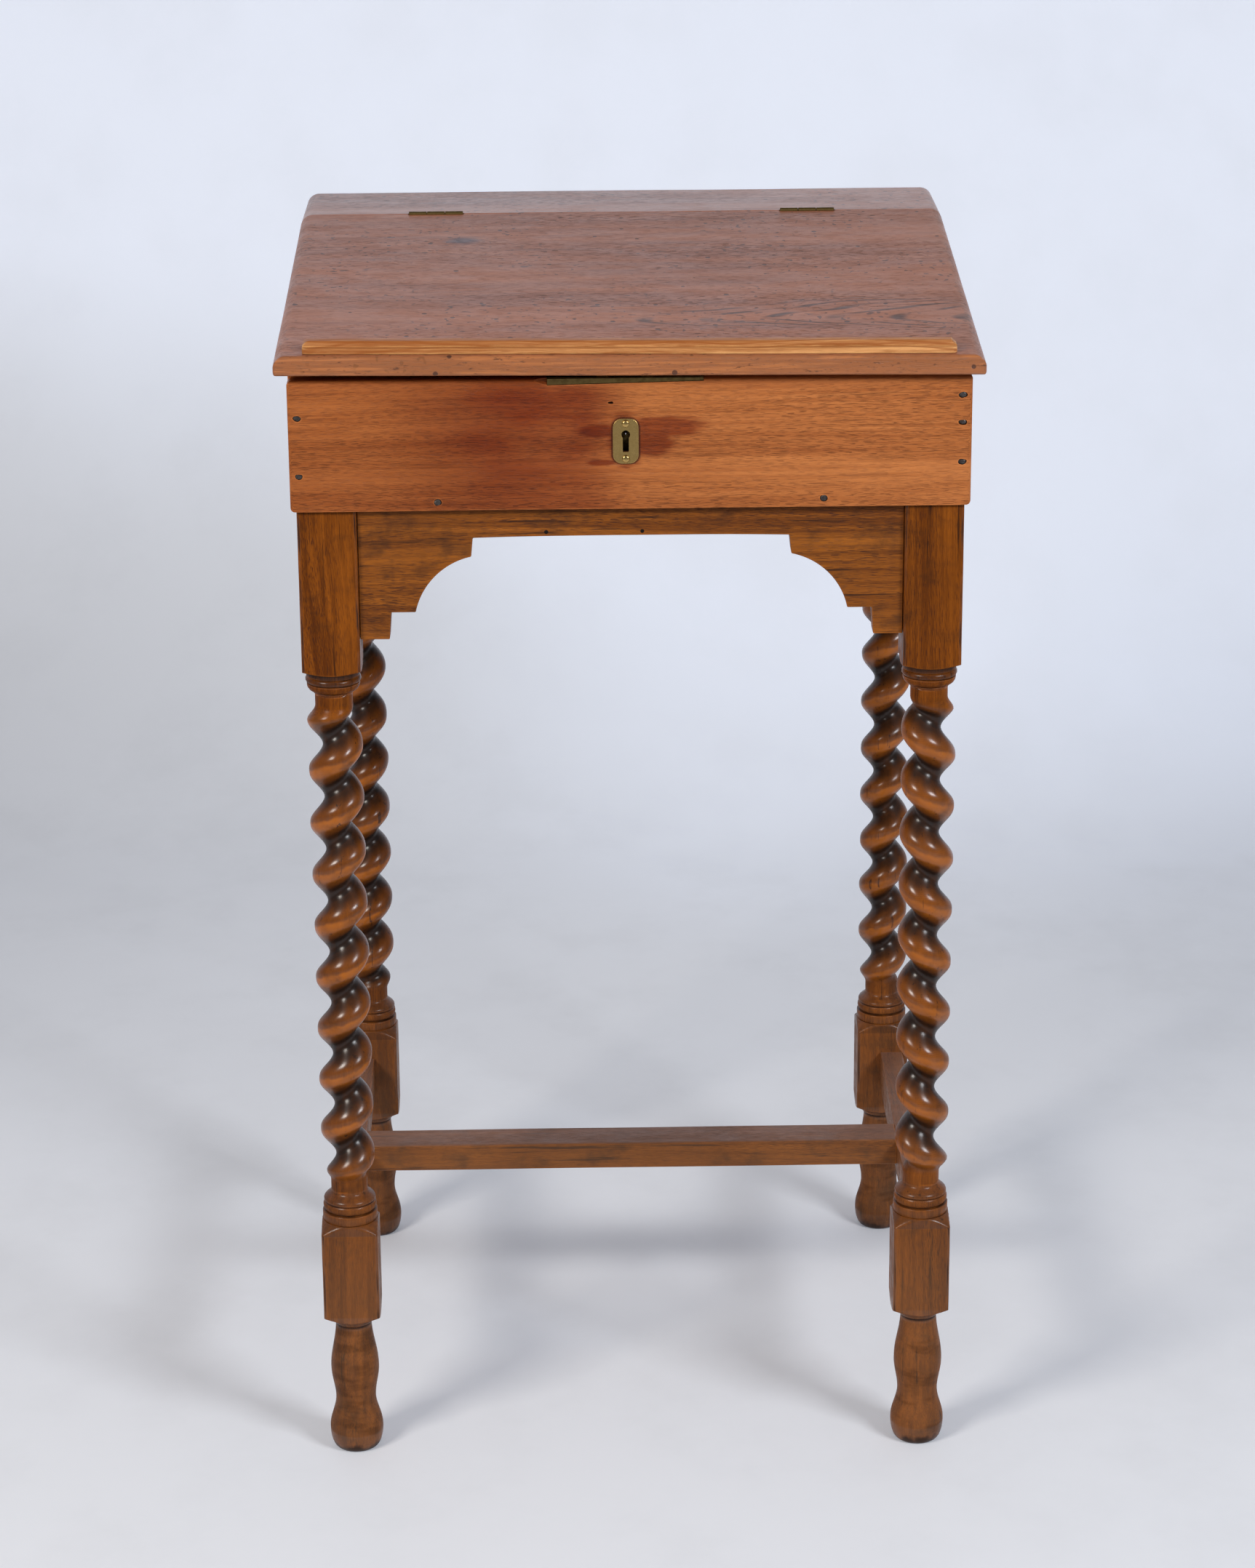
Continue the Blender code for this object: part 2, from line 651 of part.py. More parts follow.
def make_stretchers(shop):
    middle, half = apron_reach("Y")
    base = STRETCHER_TOP - SIDE_STRETCHER_HEIGHT
    for name, side in (("side_stretcher_left", -1), ("side_stretcher_right", 1)):
        outer, inner = side_stretcher_faces(side)
        low, high = min(outer, inner), max(outer, inner)
        shape = block((low, middle - half, base), (high, middle + half, STRETCHER_TOP))
        rail = shop.piece(name, shape, "rail_oak", Vector((outer, middle, base)))
        shop.join(rail, "tenons", [side_tenon(side, end, 0) for end in (-1, 1)])
        shop.cut(rail, "mortise", [cross_tenon(side, FIT_GAP)])
    _, inner = side_stretcher_faces(1)
    reach = inner - FIT_GAP
    centre = STAND_MIDDLE_Y + CROSS_STRETCHER_BEHIND_MIDDLE
    half_depth = CROSS_STRETCHER_DEPTH / 2
    base = STRETCHER_TOP - CROSS_STRETCHER_HEIGHT
    shape = block((-reach, centre - half_depth, base), (reach, centre + half_depth, STRETCHER_TOP))
    rail = shop.piece("cross_stretcher", shape, "rail_oak", Vector((0, centre, base)))
    shop.join(rail, "tenons", [cross_tenon(end, 0) for end in (-1, 1)])


# Nails


def nail_shape(head, direction, gap=0.0):
    """Square-headed tapered nail from the middle of its head, or the hole that clears it by a gap."""
    lead = CUT_REACH if gap else 0
    stations = (
        (-lead, NAIL_HEAD),
        (NAIL_HEAD_THICKNESS + gap, NAIL_HEAD),
        (NAIL_HEAD_THICKNESS + gap, NAIL_SHANK),
        (NAIL_LENGTH + gap, NAIL_TIP),
    )
    side = Vector((0, 0, 1)).cross(direction)
    rings = []
    for distance, width in stations:
        half = width / 2 + gap
        middle = head + direction * distance
        rings.append([
            middle + side * a + Vector((0, 0, b)) for a, b in rectangle(-half, half, -half, half)
        ])
    return rings


def nails():
    """Name, head and direction of each nail in the box."""
    inward = Vector((0, 1, 0))
    outward = Vector((0, -1, 0))
    front = BOX_FRONT + NAIL_SUNK
    back = BOX_BACK - NAIL_SUNK
    edge = BOX_WIDTH / 2 - NAIL_FROM_END
    found = []
    for side, word, heights in ((-1, "left", LEFT_NAIL_HEIGHTS), (1, "right", RIGHT_NAIL_HEIGHTS)):
        for number, height in enumerate(heights, 1):
            head = Vector((side * edge, front, BOX_BASE + height))
            found.append((f"nail_front_{word}_{number}", head, inward))
        for number, height in enumerate(BACK_NAIL_HEIGHTS, 1):
            head = Vector((side * edge, back, BOX_BASE + height))
            found.append((f"nail_back_{word}_{number}", head, outward))
        head = Vector((side * BOTTOM_NAIL_SPAN / 2, front, BOX_BASE + BOTTOM_THICKNESS / 2))
        found.append((f"nail_bottom_{word}", head, inward))
    return found


def make_nails(shop):
    for name, head, direction in nails():
        shop.piece(name, nail_shape(head, direction), "iron", head)


def nail_holes(words):
    """Holes of the nails whose names hold one of some words."""
    return [
        nail_shape(head, direction, FIT_GAP)
        for name, head, direction in nails()
        if any(word in name for word in words)
    ]


# Box


def lid_under(y):
    """Height of the unwarped underside of the lid at a place front to back."""
    return LID_UNDER_FRONT + (y - BOX_FRONT) * math.tan(LID_SLOPE)


def make_box(shop):
    half = BOX_WIDTH / 2
    front_profile = [(BOX_FRONT, BOX_BASE), (INNER_FRONT, BOX_BASE), (INNER_FRONT, FRONT_BOARD_TOP)]
    front_profile += arc(
        BOX_FRONT + FRONT_ARRIS_RADIUS,
        FRONT_BOARD_TOP - FRONT_ARRIS_RADIUS,
        FRONT_ARRIS_RADIUS,
        90,
        180,
        ARRIS_STEPS,
    )
    shape = prism(front_profile, "X", -half, half)
    front = shop.piece("box_front_board", shape, "box_wood", Vector((0, BOX_FRONT, BOX_BASE)))
    shop.cut(front, "nail_holes", nail_holes(("front", "bottom")))
    shop.cut(front, "lock_pocket", [lock_pocket()])
    shop.cut(front, "selvedge_seat", [selvedge_seat()])
    shop.cut(front, "keyhole_round", [keyhole_round(BOX_FRONT - CUT_REACH, CASE_FRONT + CUT_REACH)])
    shop.cut(front, "keyhole_slot", [keyhole_slot(BOX_FRONT - CUT_REACH, CASE_FRONT + CUT_REACH)])
    shop.cut(front, "pin_holes", [pin_hole(side) for side in (-1, 1)])
    shop.cut(front, "screw_holes", [selvedge_screw(side, FIT_GAP) for side in (-1, 1)])

    back_top = LEDGE_UNDER - FIT_GAP
    shape = block((-half, INNER_BACK, BOX_BASE), (half, BOX_BACK, back_top))
    back = shop.piece("box_back_board", shape, "box_wood", Vector((0, BOX_BACK, BOX_BASE)))
    shop.cut(back, "nail_holes", nail_holes(("back",)))

    side_front = INNER_FRONT + FIT_GAP
    side_back = INNER_BACK - FIT_GAP
    profile = [
        (side_front, BOX_BASE),
        (side_back, BOX_BASE),
        (side_back, back_top),
        (HINGE_Y, back_top),
        (HINGE_Y, lid_under(HINGE_Y) - FIT_GAP),
        (side_front, lid_under(side_front) - FIT_GAP),
    ]
    for word, side in (("left", -1), ("right", 1)):
        outer = side * half
        inner = outer - side * BOARD_THICKNESS
        shape = prism(profile, "X", min(outer, inner), max(outer, inner))
        board = shop.piece(f"box_{word}_board", shape, "box_wood", Vector((outer, side_front, BOX_BASE)))
        shop.cut(board, "nail_holes", nail_holes((f"front_{word}", f"back_{word}")))

    reach = half - BOARD_THICKNESS - FIT_GAP
    shape = block((-reach, side_front, BOX_BASE), (reach, side_back, BOX_BASE + BOTTOM_THICKNESS))
    bottom = shop.piece("box_bottom_board", shape, "pine", Vector((0, side_front, BOX_BASE)))
    shop.cut(bottom, "nail_holes", nail_holes(("bottom",)))


# Lid and ledge


def top_profile():
    """Section of the top across its width: rounded over at each side, with points along its faces."""
    half = TOP_WIDTH / 2
    right = arc(half - TOP_UNDER_ROUND, TOP_UNDER_ROUND, TOP_UNDER_ROUND, -90, 0, 2)
    right += arc(half - TOP_EDGE_ROUND, TOP_THICKNESS - TOP_EDGE_ROUND, TOP_EDGE_ROUND, 0, 90, TOP_EDGE_STEPS)
    left = [(-x, level) for x, level in reversed(right)]
    over = half - TOP_EDGE_ROUND
    under = half - TOP_UNDER_ROUND
    flat = [1 - 2 * step / LID_STRIPS for step in range(1, LID_STRIPS)]
    above = [(over * part, TOP_THICKNESS) for part in flat]
    below = [(-under * part, 0) for part in flat]
    return right + above + left + below


def lid_point(x, y, level):
    """Place on the lid at a level above its underside, with its wind: the left front corner lifts."""
    forward = (HINGE_Y - y) / (HINGE_Y - TOP_FRONT)
    lift = LID_WIND * (0.5 - x / TOP_WIDTH) * forward
    return Vector((x, y, lid_under(y) + level / math.cos(LID_SLOPE) + lift))


def make_top(shop):
    pivot = shop.lid_pivot.location
    lid_back = HINGE_Y - LID_JOINT / 2
    profile = top_profile()
    rings = []
    for step in range(LID_STRIPS + 1):
        y = TOP_FRONT + (lid_back - TOP_FRONT) * step / LID_STRIPS
        rings.append([lid_point(x, y, level) for x, level in profile])
    lid = shop.piece("lid_board", rings, "top_wood", pivot, shop.lid_pivot, smooth=True)
    triangulate(lid.data)
    shop.cut(lid, "hinge_seats", [leaf_seat(side, -1) for side in (-1, 1)])
    shop.cut(lid, "knuckle_seats", [knuckle_seat(side) for side in (-1, 1)])
    shop.cut(lid, "hinge_screw_holes", leaf_screws(-1, FIT_GAP))
    shop.cut(lid, "link_seat", [link_plate_shape(FIT_GAP, CUT_REACH)])
    shop.cut(lid, "link_screw_holes", [link_screw(side, FIT_GAP) for side in (-1, 1)])

    ledge_front = HINGE_Y + LID_JOINT / 2
    outline = [(x, LEDGE_UNDER + level) for x, level in profile]
    shape = prism(outline, "Y", ledge_front, TOP_DEPTH / 2)
    ledge = shop.piece("ledge_board", shape, "top_wood", Vector((0, ledge_front, LEDGE_UNDER)), smooth=True)
    shop.cut(ledge, "hinge_seats", [leaf_seat(side, 1) for side in (-1, 1)])
    shop.cut(ledge, "knuckle_seats", [knuckle_seat(side) for side in (-1, 1)])
    shop.cut(ledge, "hinge_screw_holes", leaf_screws(1, FIT_GAP))


def triangulate(mesh):
    build = bmesh.new()
    build.from_mesh(mesh)
    bmesh.ops.triangulate(build, faces=build.faces, quad_method="SHORT_EDGE")
    build.to_mesh(mesh)
    build.free()


def pen_rest_profile():
    """Section of the strip from front to back: a low lip, then a taller rounded back."""
    base = TOP_THICKNESS + FIT_GAP
    front = TOP_FRONT + PEN_REST_SETBACK
    back = front + PEN_REST_DEPTH
    crown = base + PEN_REST_HEIGHT
    outline = [(front, base), (back, base)]
    outline += arc(back - PEN_REST_ROUND, crown - PEN_REST_ROUND, PEN_REST_ROUND, 0, 90, PEN_REST_STEPS)
    step = front + PEN_REST_LIP_DEPTH
    outline += arc(step + PEN_REST_ROUND, crown - PEN_REST_ROUND, PEN_REST_ROUND, 90, 180, PEN_REST_STEPS)
    outline += [(step, base + PEN_REST_LIP_HEIGHT), (front, base + PEN_REST_LIP_HEIGHT)]
    return outline


def make_pen_rest(shop):
    half = PEN_REST_LENGTH / 2
    rings = []
    for step in range(LID_STRIPS + 1):
        x = -half + PEN_REST_LENGTH * step / LID_STRIPS
        rings.append([lid_point(x, y, level) for y, level in pen_rest_profile()])
    shop.piece("pen_rest", rings, "pine", shop.lid_pivot.location, shop.lid_pivot)


# Hinges


def hinge_x(side):
    return side * HINGE_SPAN / 2


def knuckle_seat(side):
    centre = Vector((hinge_x(side) - HINGE_LENGTH / 2 - FIT_GAP, HINGE_Y, TOP_HEIGHT))
    length = HINGE_LENGTH + 2 * FIT_GAP
    return turned(centre, Vector((1, 0, 0)), [(0, KNUCKLE_RADIUS + FIT_GAP), (length, KNUCKLE_RADIUS + FIT_GAP)],
                  KNUCKLE_POINTS)


def leaf_block(side, way, gap, inner_gap):
    """Plate of a leaf beside the hinge line: way -1 is the lid's leaf, way 1 the ledge's."""
    near = HINGE_Y + way * (FIT_GAP / 2 - inner_gap)
    far = HINGE_Y + way * (FIT_GAP / 2 + LEAF_THICKNESS + gap)
    middle = hinge_x(side)
    return block(
        (middle - HINGE_LENGTH / 2 - gap, min(near, far), TOP_HEIGHT - LEAF_HEIGHT - gap),
        (middle + HINGE_LENGTH / 2 + gap, max(near, far), TOP_HEIGHT - HINGE_PIN_RADIUS),
    )


def leaf_seat(side, way):
    return leaf_block(side, way, FIT_GAP, CUT_REACH)


def barrel(side, low_part, high_part, radius, gap):
    """Length of knuckle between two parts of the hinge's length, counted from its left end."""
    left = hinge_x(side) - HINGE_LENGTH / 2
    low = left + HINGE_LENGTH * low_part - gap
    high = left + HINGE_LENGTH * high_part + gap
    return turned(Vector((low, HINGE_Y, TOP_HEIGHT)), Vector((1, 0, 0)), [(0, radius), (high - low, radius)],
                  KNUCKLE_POINTS)


def leaf_screw(side, way, end, gap):
    """Countersunk screw of a leaf, driven into the edge of its board."""
    head = Vector((
        hinge_x(side) + end * LEAF_SCREW_SPAN / 2,
        HINGE_Y + way * FIT_GAP / 2,
        TOP_HEIGHT - LEAF_SCREW_DROP,
    ))
    return screw_shape(head, Vector((0, way, 0)), gap)


def leaf_screws(way, gap):
    return [leaf_screw(side, way, end, gap) for side in (-1, 1) for end in (-1, 1)]


def screw_shape(head, direction, gap):
    """Countersunk screw from the middle of its head, or the hole that clears it by a gap."""
    stations = [
        (0, SCREW_HEAD_RADIUS),
        (SCREW_HEAD_HEIGHT, SCREW_SHANK_RADIUS),
        (SCREW_LENGTH, SCREW_SHANK_RADIUS),
    ]
    if gap:
        stations = [(0, SCREW_HEAD_RADIUS)] + stations
        stations = grown(stations, gap)
    return turned(head, direction, stations, SCREW_POINTS)


def make_hinges(shop):
    thirds = ((0, 1 / 3), (1 / 3, 2 / 3), (2 / 3, 1))
    for word, side in (("left", -1), ("right", 1)):
        for leaf_word, way, own, other in (
            ("ledge", 1, (thirds[0], thirds[2]), (thirds[1],)),
            ("lid", -1, (thirds[1],), (thirds[0], thirds[2])),
        ):
            moving = way < 0
            holder = shop.lid_pivot if moving else shop.table
            origin = Vector((hinge_x(side), HINGE_Y, TOP_HEIGHT))
            name = f"hinge_{word}_{leaf_word}_leaf"
            leaf = shop.piece(name, leaf_block(side, way, 0, 0), "brass", origin, holder)
            shop.cut(leaf, "knuckle_room", [barrel(side, *part, KNUCKLE_RADIUS + FIT_GAP, FIT_GAP) for part in other])
            shop.join(leaf, "knuckles", [barrel(side, low + shrink_low, high - shrink_high, KNUCKLE_RADIUS, 0)
                                         for low, high, shrink_low, shrink_high in knuckle_ends(own)])
            shop.cut(leaf, "bore", [barrel(side, 0, 1, HINGE_PIN_RADIUS + FIT_GAP, CUT_REACH)])
            shop.cut(leaf, "screw_holes", [leaf_screw(side, way, end, FIT_GAP) for end in (-1, 1)])
            for number, end in enumerate((-1, 1), 1):
                shop.piece(
                    f"hinge_{word}_{leaf_word}_screw_{number}",
                    leaf_screw(side, way, end, 0),
                    "brass",
                    origin,
                    holder,
                    smooth=True,
                )
        pin = barrel(side, 0, 1, HINGE_PIN_RADIUS, 0)
        shop.piece(f"hinge_{word}_pin", pin, "brass", origin, smooth=True)


def knuckle_ends(parts):
    """Each knuckle with a gap, as a part of the hinge's length, left where it meets its neighbour."""
    spare = FIT_GAP / 2 / HINGE_LENGTH
    return [(low, high, spare if low > 0 else 0, spare if high < 1 else 0) for low, high in parts]


# Lock


def lock_span(width, gap):
    return LOCK_OFFSET_X - width / 2 - gap, LOCK_OFFSET_X + width / 2 + gap


def lock_pocket():
    low, high = lock_span(LOCK_WIDTH, FIT_GAP)
    return block(
        (low, CASE_FRONT - FIT_GAP, CASE_BASE - FIT_GAP),
        (high, INNER_FRONT + CUT_REACH, FRONT_BOARD_TOP + CUT_REACH),
    )


def selvedge_seat():
    low, high = lock_span(SELVEDGE_LENGTH, FIT_GAP)
    return block(
        (low, INNER_FRONT - SELVEDGE_WIDTH - FIT_GAP, FRONT_BOARD_TOP - SELVEDGE_THICKNESS - FIT_GAP),
        (high, INNER_FRONT + CUT_REACH, FRONT_BOARD_TOP + CUT_REACH),
    )


def staple_x(side):
    return LOCK_OFFSET_X + side * STAPLE_SPAN / 2


def staple_slot(side):
    """Opening for a staple in the top of the lock, with room for its swing."""
    middle = staple_x(side)
    half = STAPLE_WIDTH / 2 + STAPLE_SIDE_ROOM
    return block(
        (middle - half, STAPLE_BACK - STAPLE_DEPTH - STAPLE_SWING_ROOM, CASE_TOP - LOCK_WALL - CUT_REACH),
        (middle + half, STAPLE_BACK + FIT_GAP, FRONT_BOARD_TOP + CUT_REACH),
    )


def keyhole_round(low, high):
    stations = [(0, KEYHOLE_RADIUS), (high - low, KEYHOLE_RADIUS)]
    return turned(Vector((LOCK_OFFSET_X, low, KEYHOLE_Z)), Vector((0, 1, 0)), stations, ROUND_POINTS)


def keyhole_slot(low, high):
    left, right = lock_span(KEYHOLE_SLOT_WIDTH, 0)
    return block((left, low, KEYHOLE_Z - KEYHOLE_SLOT_LENGTH), (right, high, KEYHOLE_Z))


def selvedge_screw(side, gap):
    middle = INNER_FRONT - SELVEDGE_WIDTH / 2
    head = Vector((LOCK_OFFSET_X + side * SELVEDGE_SCREW_SPAN / 2, middle, FRONT_BOARD_TOP))
    return screw_shape(head, Vector((0, 0, -1)), gap)


def make_lock(shop):
    plate_back = INNER_FRONT - LOCK_PLATE_SUNK
    left, right = lock_span(LOCK_WIDTH, 0)
    strip_left, strip_right = lock_span(SELVEDGE_LENGTH, 0)
    strip_base = FRONT_BOARD_TOP - SELVEDGE_THICKNESS
    plate = rectangle(left, right, plate_back - LOCK_PLATE_THICKNESS, plate_back)
    strip = rectangle(strip_left, strip_right, INNER_FRONT - SELVEDGE_WIDTH, INNER_FRONT)
    shape = prism(plate, "Z", CASE_BASE, strip_base) + prism(strip, "Z", strip_base, FRONT_BOARD_TOP)
    selvedge = shop.piece("lock_selvedge", shape, "brass", Vector((LOCK_OFFSET_X, INNER_FRONT, strip_base)))
    shop.cut(selvedge, "staple_slots", [staple_slot(side) for side in (-1, 1)])
    shop.cut(selvedge, "screw_holes", [selvedge_screw(side, FIT_GAP) for side in (-1, 1)])
    for word, side in (("left", -1), ("right", 1)):
        head = Vector((LOCK_OFFSET_X + side * SELVEDGE_SCREW_SPAN / 2, INNER_FRONT, FRONT_BOARD_TOP))
        shop.piece(f"selvedge_screw_{word}", selvedge_screw(side, 0), "brass", head, smooth=True)

    outer = rectangle(left, right, CASE_BASE, CASE_TOP)
    inner = rectangle(left + LOCK_WALL, right - LOCK_WALL, CASE_BASE + LOCK_WALL, CASE_TOP - LOCK_WALL)
    cup = prism(outer, "Y", CASE_FRONT, CASE_BACK) + prism(inner, "Y", CASE_BACK, CASE_FRONT + LOCK_WALL)
    case = shop.piece("lock_case", cup, "iron", Vector((LOCK_OFFSET_X, CASE_FRONT, CASE_BASE)))
    shop.cut(case, "staple_slots", [staple_slot(side) for side in (-1, 1)])
    reach = (CASE_FRONT - CUT_REACH, CASE_FRONT + CUT_REACH)
    shop.cut(case, "keyhole_round", [keyhole_round(*reach)])
    shop.cut(case, "keyhole_slot", [keyhole_slot(*reach)])

    pin_front = BOX_FRONT + DRILL_PIN_SETBACK
    stations = [(0, DRILL_PIN_RADIUS), (CASE_BACK - pin_front, DRILL_PIN_RADIUS)]
    foot = Vector((LOCK_OFFSET_X, pin_front, KEYHOLE_Z))
    shape = turned(foot, Vector((0, 1, 0)), stations, ROUND_POINTS)
    shop.piece("lock_drill_pin", shape, "iron", foot, smooth=True)
    make_bolt(shop)


def bolt_outline():
    """Bar with two uprights whose fingers reach for the staples."""
    bar_top = FRONT_BOARD_TOP - BOLT_BAR_DROP
    finger_top = FRONT_BOARD_TOP - BOLT_FINGER_DROP
    finger_base = finger_top - BOLT_FINGER_HEIGHT
    outline = []
    for side in (-1, 1):
        tip = staple_x(side) - STAPLE_WIDTH / 2 - STAPLE_SIDE_ROOM
        root = tip - BOLT_FINGER_LENGTH
        outline += [
            (root - BOLT_UPRIGHT_WIDTH, bar_top),
            (root - BOLT_UPRIGHT_WIDTH, finger_top),
            (tip, finger_top),
            (tip, finger_base),
            (root, finger_base),
            (root, bar_top),
        ]
    start = outline[0][0]
    base = bar_top - BOLT_BAR_HEIGHT
    outline += [(start + BOLT_BAR_LENGTH, bar_top), (start + BOLT_BAR_LENGTH, base), (start, base)]
    return outline


def make_bolt(shop):
    half = BOLT_FINGER_THICKNESS / 2
    outline = bolt_outline()
    shape = prism(outline, "Y", STAPLE_MIDDLE - half, STAPLE_MIDDLE + half)
    start, base = outline[-1]
    bolt = shop.piece("lock_bolt", shape, "brass", Vector((start, STAPLE_MIDDLE, base)))
    guide_front = CASE_FRONT + LOCK_WALL + FIT_GAP
    guide_back = CASE_BACK
    inset = BOLT_UPRIGHT_WIDTH / 2
    guide = block(
        (start + inset, guide_front, base + inset),
        (start + BOLT_BAR_LENGTH - inset, guide_back, base + BOLT_BAR_HEIGHT - inset),
    )
    shop.join(bolt, "guide", [guide])


def link_plate_shape(gap, reach):
    """Plate let into the underside of the lid, or its seat."""
    low, high = lock_span(LINK_PLATE_LENGTH, gap)
    front = STAPLE_MIDDLE - LINK_PLATE_WIDTH / 2 - gap
    back = STAPLE_MIDDLE + LINK_PLATE_WIDTH / 2 + gap
    rings = []
    for level in (-reach, LINK_PLATE_THICKNESS + gap):
        rings.append([lid_point(x, y, level) for x, y in rectangle(low, high, front, back)])
    return rings


def link_screw(side, gap):
    x = LOCK_OFFSET_X + side * LINK_SCREW_SPAN / 2
    head = lid_point(x, STAPLE_MIDDLE, 0)
    return screw_shape(head, Vector((0, -math.sin(LID_SLOPE), math.cos(LID_SLOPE))), gap)


def staple(side):
    """Loop that hangs from the link plate, open along X for the bolt's finger."""
    front = STAPLE_BACK - STAPLE_DEPTH
    base = FRONT_BOARD_TOP - STAPLE_DROP
    middle = staple_x(side)
    top = lid_point(middle, STAPLE_MIDDLE, LINK_PLATE_THICKNESS / 2).z
    outline = [
        (front, top),
        (front, base),
        (STAPLE_BACK, base),
        (STAPLE_BACK, top),
        (STAPLE_BACK - STAPLE_WALL, top),
        (STAPLE_BACK - STAPLE_WALL, base + STAPLE_WALL),
        (front + STAPLE_WALL, base + STAPLE_WALL),
        (front + STAPLE_WALL, top),
    ]
    return prism(outline, "X", middle - STAPLE_WIDTH / 2, middle + STAPLE_WIDTH / 2)


def make_link_plate(shop):
    pivot = shop.lid_pivot.location
    plate = shop.piece("lock_link_plate", link_plate_shape(0, 0), "brass", pivot, shop.lid_pivot)
    triangulate(plate.data)
    shop.join(plate, "staples", [staple(side) for side in (-1, 1)])
    shop.cut(plate, "screw_holes", [link_screw(side, FIT_GAP) for side in (-1, 1)])
    for word, side in (("left", -1), ("right", 1)):
        shop.piece(f"link_screw_{word}", link_screw(side, 0), "brass", pivot, shop.lid_pivot, smooth=True)


# Escutcheon


def escutcheon_pin_stations(gap):
    """Domed pin from the back of its head: its shank, or the hole that clears it."""
    return [(0, PIN_SHANK_RADIUS + gap), (ESCUTCHEON_THICKNESS + FIT_GAP + PIN_LENGTH + gap, PIN_SHANK_RADIUS + gap)]


def pin_seat(side):
    """Middle of a pin's head, where it lies on the face of the escutcheon."""
    face = BOX_FRONT - FIT_GAP - ESCUTCHEON_THICKNESS
    return Vector((LOCK_OFFSET_X, face, ESCUTCHEON_Z + side * ESCUTCHEON_PIN_SPAN / 2))


def pin_hole(side):
    stations = escutcheon_pin_stations(FIT_GAP)
    stations[0] = (stations[0][0] - CUT_REACH, stations[0][1])
    return turned(pin_seat(side), Vector((0, 1, 0)), stations, SCREW_POINTS)


def pin_shape(side):
    """Half-round head in front of the plate, with its shank behind."""
    stations = []
    for step in range(CORNER_STEPS):
        angle = math.pi / 2 * (CORNER_STEPS - step) / (CORNER_STEPS + 1)
        rise = PIN_HEAD_HEIGHT * math.sin(angle)
        stations.append((-FIT_GAP - rise, PIN_HEAD_RADIUS * math.cos(angle)))
    stations.append((-FIT_GAP, PIN_HEAD_RADIUS))
    stations += [(-FIT_GAP, PIN_SHANK_RADIUS), escutcheon_pin_stations(0)[1]]
    return turned(pin_seat(side), Vector((0, 1, 0)), stations, SCREW_POINTS)


def make_escutcheon(shop):
    half_width = ESCUTCHEON_WIDTH / 2 - ESCUTCHEON_CORNER
    half_height = ESCUTCHEON_HEIGHT / 2 - ESCUTCHEON_CORNER
    outline = []
    for turn, side_x, side_z in ((0, 1, 1), (90, -1, 1), (180, -1, -1), (270, 1, -1)):
        centre_x = LOCK_OFFSET_X + side_x * half_width
        centre_z = ESCUTCHEON_Z + side_z * half_height
        outline += arc(centre_x, centre_z, ESCUTCHEON_CORNER, turn, turn + 90, CORNER_STEPS)
    back = BOX_FRONT - FIT_GAP
    front = back - ESCUTCHEON_THICKNESS
    shape = prism(outline, "Y", front, back)
    plate = shop.piece("escutcheon", shape, "brass", Vector((LOCK_OFFSET_X, back, ESCUTCHEON_Z)))
    reach = (front - CUT_REACH, back + CUT_REACH)
    shop.cut(plate, "keyhole_round", [keyhole_round(*reach)])
    shop.cut(plate, "keyhole_slot", [keyhole_slot(*reach)])
    shop.cut(plate, "pin_holes", [pin_hole(side) for side in (-1, 1)])
    for word, side in (("upper", 1), ("lower", -1)):
        shop.piece(f"escutcheon_pin_{word}", pin_shape(side), "brass", pin_seat(side), smooth=True)


def main():
    shop = Workshop()
    make_legs(shop)
    make_aprons(shop)
    make_stretchers(shop)
    make_box(shop)
    make_nails(shop)
    make_top(shop)
    make_pen_rest(shop)
    make_hinges(shop)
    make_lock(shop)
    make_link_plate(shop)
    make_escutcheon(shop)


main()
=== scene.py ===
"""Writing table: finer pieces, finishes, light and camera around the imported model.

Lengths are in metres and +Z is up. The front faces -Y. Each piece is modelled where it stands, so its own
coordinates are those of the whole table, and it rides on one of the table's bodies.
"""

import json
import math

import bmesh
import bpy
from mathutils import Matrix, Vector, noise


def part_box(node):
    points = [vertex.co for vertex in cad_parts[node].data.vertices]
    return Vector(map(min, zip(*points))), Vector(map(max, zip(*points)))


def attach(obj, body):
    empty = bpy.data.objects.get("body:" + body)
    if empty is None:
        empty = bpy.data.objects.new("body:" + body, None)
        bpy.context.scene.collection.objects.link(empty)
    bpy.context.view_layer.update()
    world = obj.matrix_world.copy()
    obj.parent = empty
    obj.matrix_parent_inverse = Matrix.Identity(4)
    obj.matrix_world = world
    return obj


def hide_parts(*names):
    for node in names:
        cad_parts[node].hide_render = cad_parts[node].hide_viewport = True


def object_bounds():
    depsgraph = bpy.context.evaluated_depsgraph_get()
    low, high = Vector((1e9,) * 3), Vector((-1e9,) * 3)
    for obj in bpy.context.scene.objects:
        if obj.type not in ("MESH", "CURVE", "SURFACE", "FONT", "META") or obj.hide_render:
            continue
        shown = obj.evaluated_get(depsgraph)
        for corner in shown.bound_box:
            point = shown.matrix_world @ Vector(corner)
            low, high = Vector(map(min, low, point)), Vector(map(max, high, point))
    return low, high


bl_info = {
    "name": "Writing table",
    "version": (1, 0, 0),
    "blender": (4, 5, 0),
    "location": "3D View > Sidebar > Writing table",
    "description": "Makes the shaped boards, twist-turned legs and finishes of a writing table",
    "category": "Object",
}

